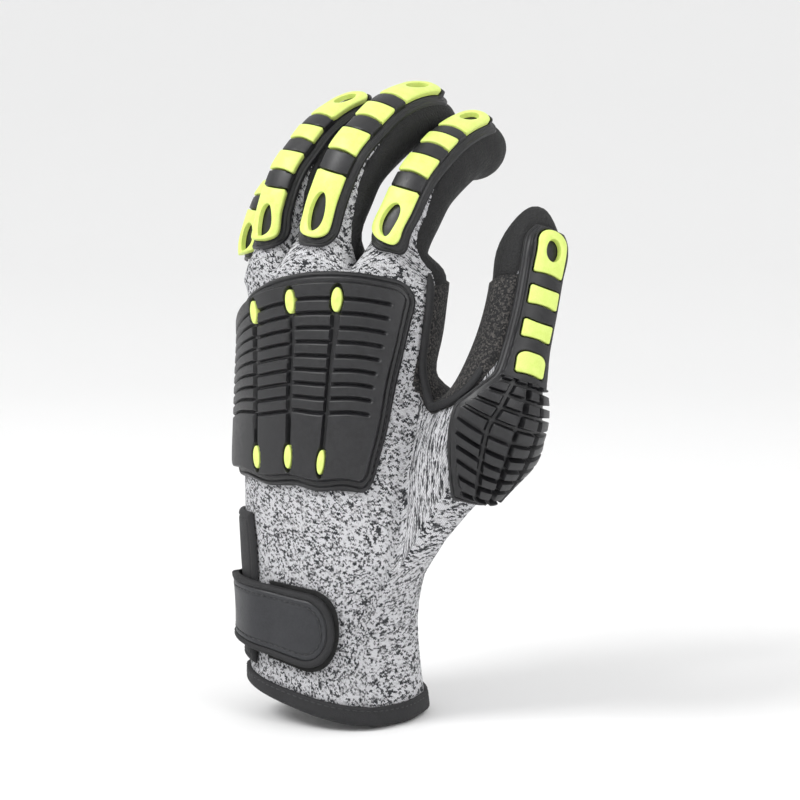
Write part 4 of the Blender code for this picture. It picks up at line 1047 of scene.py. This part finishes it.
def thumb_height(x, y):
    row = thumb_ruler.row(y)
    left, right = thumb_edges(y[:, 0])
    left, right = left[:, None], right[:, None]
    ends = np.minimum(y - thumb_range[0], thumb_range[1] - y)
    depth = np.minimum(np.minimum(x - left, right - x) * 0.96, ends)
    strip = moulded(depth, pockets_cut(THUMB_POCKETS, thumb_ruler, x, y))
    share = (2 * x - left - right) / (right - left)
    half = (right - left) / 2
    groove = np.ones_like(x)
    for middle in PAD_GROOVES:
        spare = abs(share - middle) * half - PAD_GROOVE_HALF[0]
        groove = np.minimum(groove, ease(spare / PAD_GROOVE_SLOPE))
    beside = abs((y - thumb_range[0]) / PAD_RIB_PITCH % 1 - 0.5)
    spare = (0.5 - beside) * PAD_RIB_PITCH - PAD_GROOVE_HALF[1]
    groove = np.minimum(groove, ease(spare / PAD_GROOVE_SLOPE))
    body = ease((np.minimum(depth, x - left - PAD_FLANGE_SPARE) - BORDER) / BODY_SLOPE)
    pad = border_height(depth) + (PAD_FLOOR - STRIP_FLANGE + (PAD_RIB - PAD_FLOOR) * groove) * body
    return np.where(row < PAD_NECK, pad, strip)


thumb_range = thumb_ruler.run(PAD_EDGES[0].row), thumb_ruler.run(PAD_EDGES[-1].row)
thumb_guard = add_relief("thumb_strip_and_pad", on_thumb, thumb_edges, thumb_range, thumb_height,
                         (131, 460), rubber)
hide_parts("thumb_guard")
add_pocket_inlays("thumb", on_thumb, THUMB_POCKETS, thumb_ruler)

# Back guard
# One moulded rubber pad covers the back of the hand, sewn down through its border. Three deep grooves let it
# fold between the bones, nine fine ones let it bend, and a bright oval fills each end of the deep ones.
GUARD_BOTTOM = 78 * MM
GUARD_TOP = 156 * MM
GUARD_BOW = 8.5 * MM
GUARD_CREST = 0.45
GUARD_HEM_DROP = 1 * MM
GUARD_MIDDLE = (9.7, 10.4)
GUARD_REACH = ((6.7, 7.2), (5.1, 5.9))
GUARD_CORNER = 8 * MM
GUARD_WAVE = 0.7 * MM
GUARD_CLEARANCE = 0.8 * MM
GUARD_RIM = 0.7 * MM
GUARD_RIM_SLOPE = 0.8 * MM
GUARD_SEAM_INSET = 1.8 * MM
GUARD_SEAM_HALF = 0.35 * MM
GUARD_SEAM_DEPTH = 0.45 * MM
GUARD_FLANGE = 1.5 * MM
GUARD_BODY = 4.5 * MM
GUARD_BORDER = 3.4 * MM
GUARD_SLOPE = 1.0 * MM
LONG_GROOVES = (-0.38, 0.0, 0.40)
LONG_GROOVE_SPAN = (0.135, 0.870)
LONG_GROOVE_HALF = 0.75 * MM
LONG_GROOVE_WIDENING = 0.35 * MM
LONG_GROOVE_DEPTH = 1.9 * MM
CROSS_GROOVES = 9
CROSS_PITCH = 0.0645
CROSS_STEP = 0.5 * MM  # how far the grooves are offset between the deep grooves
CROSS_HALF = 0.60 * MM
CROSS_DEPTH = 1.5 * MM
CROSS_END = 0.83
OVALS = 6
OVAL_HALF = (1.8 * MM, 4.4 * MM)
OVAL_FLOOR = 2.3 * MM
guard_height = GUARD_TOP - GUARD_BOTTOM
column_step = surfaces["palm"].at(palm_row(118 * MM), 10.7) - surfaces["palm"].at(palm_row(118 * MM), 9.7)
guard_half = sum(GUARD_REACH[0] + GUARD_REACH[1]) / 4 * float(np.linalg.norm(column_step))


def on_back(x, y, lift):
    """A point of the guard, x metres from its middle and y above its lower edge."""
    share, along = x / guard_half, y / guard_height
    left, right = (low + (high - low) * along for low, high in GUARD_REACH)
    column = GUARD_MIDDLE[0] + (GUARD_MIDDLE[1] - GUARD_MIDDLE[0]) * along
    column = column + share * (left + (right - left) * ease(0.5 + share * 2))
    top = GUARD_TOP - GUARD_BOW * (share - GUARD_CREST) ** 2
    bottom = GUARD_BOTTOM - GUARD_HEM_DROP * share + GUARD_WAVE * np.cos(3 * math.pi * share)
    return surfaces["palm"].at(palm_row(bottom + (top - bottom) * along), column, GUARD_CLEARANCE + lift)


def back_edges(y):
    run = np.clip(GUARD_CORNER - np.minimum(y, guard_height - y), 0, GUARD_CORNER)
    inset = GUARD_CORNER - np.sqrt(GUARD_CORNER**2 - run**2)
    return -(guard_half - inset), guard_half - inset


def oval_depth(x, y, number):
    groove, share = LONG_GROOVES[number % 3], LONG_GROOVE_SPAN[number // 3]
    radius = np.hypot((x - groove * guard_half) / OVAL_HALF[0], (y - share * guard_height) / OVAL_HALF[1])
    return (1 - radius) * OVAL_HALF[0]


def back_height(x, y):
    depth = inside_oblong(x, y, guard_half, 0, guard_height, GUARD_CORNER, GUARD_CORNER)
    height = GUARD_RIM + (GUARD_FLANGE - GUARD_RIM) * ease(depth / GUARD_RIM_SLOPE)
    height -= GUARD_SEAM_DEPTH * bell(depth, GUARD_SEAM_INSET, GUARD_SEAM_HALF)
    body = ease((depth - GUARD_BORDER) / GUARD_SLOPE)
    cut = np.zeros_like(x)
    low, high = (share * guard_height for share in LONG_GROOVE_SPAN)
    for groove in LONG_GROOVES:
        half = LONG_GROOVE_HALF + LONG_GROOVE_WIDENING * ease((y - low) / (high - low))
        width = 1 - ease((abs(x - groove * guard_half) - half) / (0.45 * MM))
        cut = np.maximum(cut, LONG_GROOVE_DEPTH * width * ((y > low) & (y < high)))
    reach = ease((x + guard_half - GUARD_BORDER) / (2 * MM)) * ease((CROSS_END * guard_half - x) / (2 * MM))
    step = CROSS_STEP * np.where(x < LONG_GROOVES[0] * guard_half, 1, np.where(x < 0, -0.6, 0.6))
    for k in range(CROSS_GROOVES):
        line = (LONG_GROOVE_SPAN[1] - CROSS_PITCH * k) * guard_height
        cut = np.maximum(cut, CROSS_DEPTH * bell(y, line + step, CROSS_HALF) * reach)
    deep = GUARD_BODY - OVAL_FLOOR
    for number in range(OVALS):
        cut = np.maximum(cut, deep * ease(0.5 + (oval_depth(x, y, number) + 0.5 * MM) / (0.5 * MM)))
    return height + (GUARD_BODY - GUARD_FLANGE) * body - cut * body


back_guard = add_relief("back_of_hand_guard", on_back, back_edges, (0, guard_height), back_height,
                        (230, 380), rubber)
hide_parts("back_guard")
for number in range(OVALS):
    groove, share = LONG_GROOVES[number % 3], LONG_GROOVE_SPAN[number // 3]

    def place_oval(x, y, lift, groove=groove):
        return on_back(x + groove * guard_half, y, lift)

    def depth(x, y, number=number, groove=groove):
        return oval_depth(x + groove * guard_half, y, number)

    oval = add_inlay(f"bright_oval_{number + 1}", place_oval, depth, share * guard_height, OVAL_FLOOR,
                     GUARD_BODY + 0.2 * MM, None, bright, 0.7 * MM)
    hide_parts(f"back_inlay_{number + 1}")

# Wrist strap
# A padded black base is sewn to the little finger's side of the cuff. A tab of smooth synthetic leather,
# bound with tape and backed with hook tape, folds out of it over the back of the wrist and grips the knit.
BASE_COLUMNS = (-3, 5)
BASE_HEIGHTS = (9 * MM, 66 * MM)
BASE_RIM = 0.6 * MM
BASE_ROUND = 1.4 * MM  # how far its edge rises over the rim, and over what run
BASE_SEAM_INSET = 2.6 * MM
TAB_START = -0.8
TAB_END = 13.6
TAB_HEIGHTS = (31 * MM, 26 * MM)
TAB_HALF = 12.75 * MM
TAB_LIFT = (3.7 * MM, 1.9 * MM)
TAB_BINDING = 2.4 * MM
LEATHER_TOP = 2.4 * MM


def on_wrist(x, y, lift):
    return surfaces["palm"].at(palm_row(y), x, 0.6 * MM + lift)


def base_edges(y):
    return np.full_like(y, BASE_COLUMNS[0]), np.full_like(y, BASE_COLUMNS[1])


def base_height(x, y):
    sides = np.minimum(x - BASE_COLUMNS[0], BASE_COLUMNS[1] - x) * PALM_COLUMN
    depth = np.minimum(sides, np.minimum(y - BASE_HEIGHTS[0], BASE_HEIGHTS[1] - y))
    height = BASE_RIM + BASE_ROUND * np.sqrt(np.clip(depth / BASE_ROUND, 0, 1))
    return height - 0.5 * MM * bell(depth, BASE_SEAM_INSET, 0.4 * MM)


base = add_relief("strap_base_cloth", on_wrist, base_edges, BASE_HEIGHTS, base_height, (90, 120), tape)
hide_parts("strap_base")


def on_tab(along, across, lift):
    """A point of the tab: along in columns of the palm's net, across in metres from its middle line."""
    run = (along - TAB_START) / (TAB_END - TAB_START)
    middle = TAB_HEIGHTS[0] + (TAB_HEIGHTS[1] - TAB_HEIGHTS[0]) * run
    settled = ease((along - BASE_COLUMNS[1] - 0.3) / 3)
    under = TAB_LIFT[0] + (TAB_LIFT[1] - TAB_LIFT[0]) * settled
    return surfaces["palm"].at(palm_row(middle + across), along, under + lift)


tab_step = float(np.linalg.norm(on_tab(TAB_END, 0.0, 0.0) - on_tab(TAB_END - 1, 0.0, 0.0)))
tab_centre = TAB_END - TAB_HALF / tab_step  # where the tab's round end begins


def tab_line(inset, straight=60, bend=48):
    """The tab's outline, inset: along its upper side, round its end and back, as (along, across)."""
    half = TAB_HALF - inset
    upper = np.linspace(TAB_START, tab_centre, straight)
    turns = np.linspace(math.pi / 2, -math.pi / 2, bend)[1:-1]
    along = np.concatenate([upper, tab_centre + half / tab_step * np.cos(turns), upper[::-1]])
    across = np.concatenate([np.full(straight, half), half * np.sin(turns), np.full(straight, -half)])
    return along, across


leather, tree, shader = new_material("strap_leather", (0.028, 0.029, 0.033), 0.42)
add_grain(tree, shader, 0.9 * MM, 0.07 * MM, (0.013, 0.014, 0.017), (0.021, 0.022, 0.026), (0.36, 0.50))
profile = [(0.0, 0.2), (0.0, 1.2), (0.12, 2.0), (0.45, 2.55), (0.95, 2.8), (1.5, 2.75), (2.1, 2.45),
           (2.4, 2.0), (2.4, 0.2)]  # inset and lift, in mm
rings = np.array([on_tab(*tab_line(inset * MM), np.array(lift * MM)) for inset, lift in profile])
tab_tape = add_sweep("strap_edge_tape", rings.transpose(1, 0, 2), tape, False)
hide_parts("strap_binding")


def add_tab_slab(name, inset, bottom, top, groove, material, start=0):
    """A slab inside the tab's outline, made of rungs between its two long sides."""
    along, across = tab_line(inset)
    count = len(along) // 2
    shares = np.linspace(0, 1, 41)
    rungs = slice(start, count)
    along_grid = along[rungs, None] + 0 * shares
    across_grid = across[rungs, None] * (1 - 2 * shares)
    layers = []
    for lift in (bottom, top):
        lifts = np.full(along_grid.shape, lift)
        if lift == top and groove:
            radius = np.hypot(np.maximum(along_grid - tab_centre, 0) * tab_step, across_grid)
            depth = TAB_HALF - inset - radius
            lifts -= groove * bell(depth, 1.9 * MM, 0.35 * MM)
            lifts -= 0.4 * MM * (1 - ease(depth / (0.6 * MM)))
        layers.append(on_tab(along_grid, across_grid, lifts).reshape(-1, 3))
    number = np.arange(along_grid.size).reshape(along_grid.shape)
    place, corners, _ = walled(grid_faces(number), layers[0], layers[1])
    return new_piece(name, place, corners, material)


tab_face = add_tab_slab("strap_leather_face", TAB_BINDING + 0.1 * MM, 0.4 * MM, LEATHER_TOP, 0.35 * MM,
                        leather)
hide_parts("strap_tab")
hook_black, tree, shader = new_material("hook_tape", (0.008, 0.008, 0.008), 0.95)
add_grain(tree, shader, 0.35 * MM, 0.3 * MM, (0.005, 0.005, 0.005), (0.018, 0.018, 0.018), (0.8, 0.98))
hook_tape = add_tab_slab("hook_tape_pad", -1.4 * MM, -1.1 * MM, -0.1 * MM, 0, hook_black, 40)
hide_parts("hook_pad")


def geometry_tree(name, **sizes):
    """A tree with named number inputs: the tree, its input node, and each input's value."""
    tree = bpy.data.node_groups.new(name, "GeometryNodeTree")
    tree.interface.new_socket("Geometry", in_out="INPUT", socket_type="NodeSocketGeometry")
    values = {}
    for key, value in sizes.items():
        socket = tree.interface.new_socket(key, in_out="INPUT", socket_type="NodeSocketFloat")
        values[socket.identifier] = value
    tree.interface.new_socket("Geometry", in_out="OUTPUT", socket_type="NodeSocketGeometry")
    return tree, add_node(tree, "NodeGroupInput"), values


def thick_and_long(tree, inside):
    """The scale of an instance, from the inputs Width and Length."""
    width, length = inside.outputs["Width"], inside.outputs["Length"]
    return add_node(tree, "ShaderNodeCombineXYZ", {0: width, 1: width, 2: length}).outputs[0]


def grow(name, mesh, tree, values, instances, material):
    """The object that a tree makes out of a mesh, with its instances realized and painted."""
    real = add_node(tree, "GeometryNodeRealizeInstances", {0: instances.outputs[0]})
    painted = add_node(tree, "GeometryNodeSetMaterial", {"Geometry": real.outputs[0], "Material": material})
    outside = add_node(tree, "NodeGroupOutput")
    tree.links.new(painted.outputs[0], outside.inputs["Geometry"])
    bed = add_object(f"{name}_bed", mesh)
    growth = bed.modifiers.new("growth", "NODES")
    growth.node_group = tree
    for identifier, value in values.items():
        growth[identifier] = value
    grown_mesh = evaluated_mesh(bed)
    bpy.data.objects.remove(bed)
    return add_object(name, grown_mesh)


tree, inside, values = geometry_tree("hook_bristles", Density=1.6e6, Length=0.9 * MM, Width=0.16 * MM)
rooted = add_node(tree, "GeometryNodeDistributePointsOnFaces",
                  {"Mesh": inside.outputs["Geometry"], "Density": inside.outputs["Density"], "Seed": 3})
bristle = add_node(tree, "GeometryNodeMeshCone",
                   {"Vertices": 4, "Radius Top": 0.3, "Radius Bottom": 0.5, "Depth": 1.0})
vary = add_node(tree, "FunctionNodeRandomValue", {"Min": (0.8, 0.8, 0.5), "Max": (1.2, 1.2, 1.1), "Seed": 5},
                data_type="FLOAT_VECTOR")
sized = add_node(tree, "ShaderNodeVectorMath", {0: thick_and_long(tree, inside), 1: vary.outputs[0]},
                 operation="MULTIPLY")
grown = add_node(tree, "GeometryNodeInstanceOnPoints",
                 {"Points": rooted.outputs["Points"], "Instance": bristle.outputs["Mesh"],
                  "Rotation": rooted.outputs["Rotation"], "Scale": sized.outputs[0]})
bristles = grow("hook_bristles", hook_tape.data.copy(), tree, values, grown, hook_black)
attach(bristles, "root")

# Sewing thread
# Black thread holds the back guard's border, the tab and the hem's tape. Each stitch is a short rounded bead
# of thread, laid at even spacing along its seam.
thread, tree, shader = new_material("black_thread", (0.03, 0.03, 0.032), 0.6)
THREAD_PITCH = 2.6 * MM
THREAD_LENGTH = 1.9 * MM
THREAD_WIDTH = 0.5 * MM


def border_seam(place, edges, y_range, inset, lift, count):
    """A closed line inside a moulding's outline, at a distance from its edge."""
    y = np.linspace(y_range[0] + inset, y_range[1] - inset, count)
    left, right = edges(y)
    x = np.concatenate([left + inset, (right - inset)[::-1]])
    y = np.concatenate([y, y[::-1]])
    return place(x, y, np.full(len(x), lift)), True


seams = [border_seam(on_back, back_edges, (0, guard_height), GUARD_SEAM_INSET, 1.25 * MM, 260)]
along, across = tab_line(TAB_BINDING + 2.0 * MM)
seams.append((on_tab(along, across, np.array(LEATHER_TOP - 0.1 * MM)), False))
seams.append((surfaces["palm"].at(palm_row(TAPE_HEIGHT - 1.2 * MM), np.linspace(0, 36, 300),
                                  TAPE_TOP * 0.93), False))
seam_points = []
seam_edges = []
for line, closed in seams:
    first = len(seam_points)
    seam_points += line.tolist()
    seam_edges += [(first + k, first + k + 1) for k in range(len(line) - 1)]
    if closed:
        seam_edges.append((first + len(line) - 1, first))
seam_mesh = bpy.data.meshes.new("seams")
seam_mesh.from_pydata(seam_points, seam_edges, [])

tree, inside, values = geometry_tree("sewn_thread", Pitch=THREAD_PITCH, Length=THREAD_LENGTH,
                                     Width=THREAD_WIDTH)
curve = add_node(tree, "GeometryNodeMeshToCurve", {"Mesh": inside.outputs["Geometry"]})
spaced = add_node(tree, "GeometryNodeCurveToPoints",
                  {"Curve": curve.outputs[0], "Length": inside.outputs["Pitch"]}, mode="LENGTH")
bead = add_node(tree, "GeometryNodeMeshUVSphere", {"Segments": 6, "Rings": 5, "Radius": 0.5})
facing = add_node(tree, "FunctionNodeAlignRotationToVector", {"Vector": spaced.outputs["Tangent"]}, axis="Z")
laid = add_node(tree, "GeometryNodeInstanceOnPoints",
                {"Points": spaced.outputs["Points"], "Instance": bead.outputs["Mesh"],
                 "Rotation": facing.outputs[0], "Scale": thick_and_long(tree, inside)})
stitches = grow("sewn_stitches", seam_mesh, tree, values, laid, thread)
stitches.data.shade_smooth()
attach(stitches, "root")
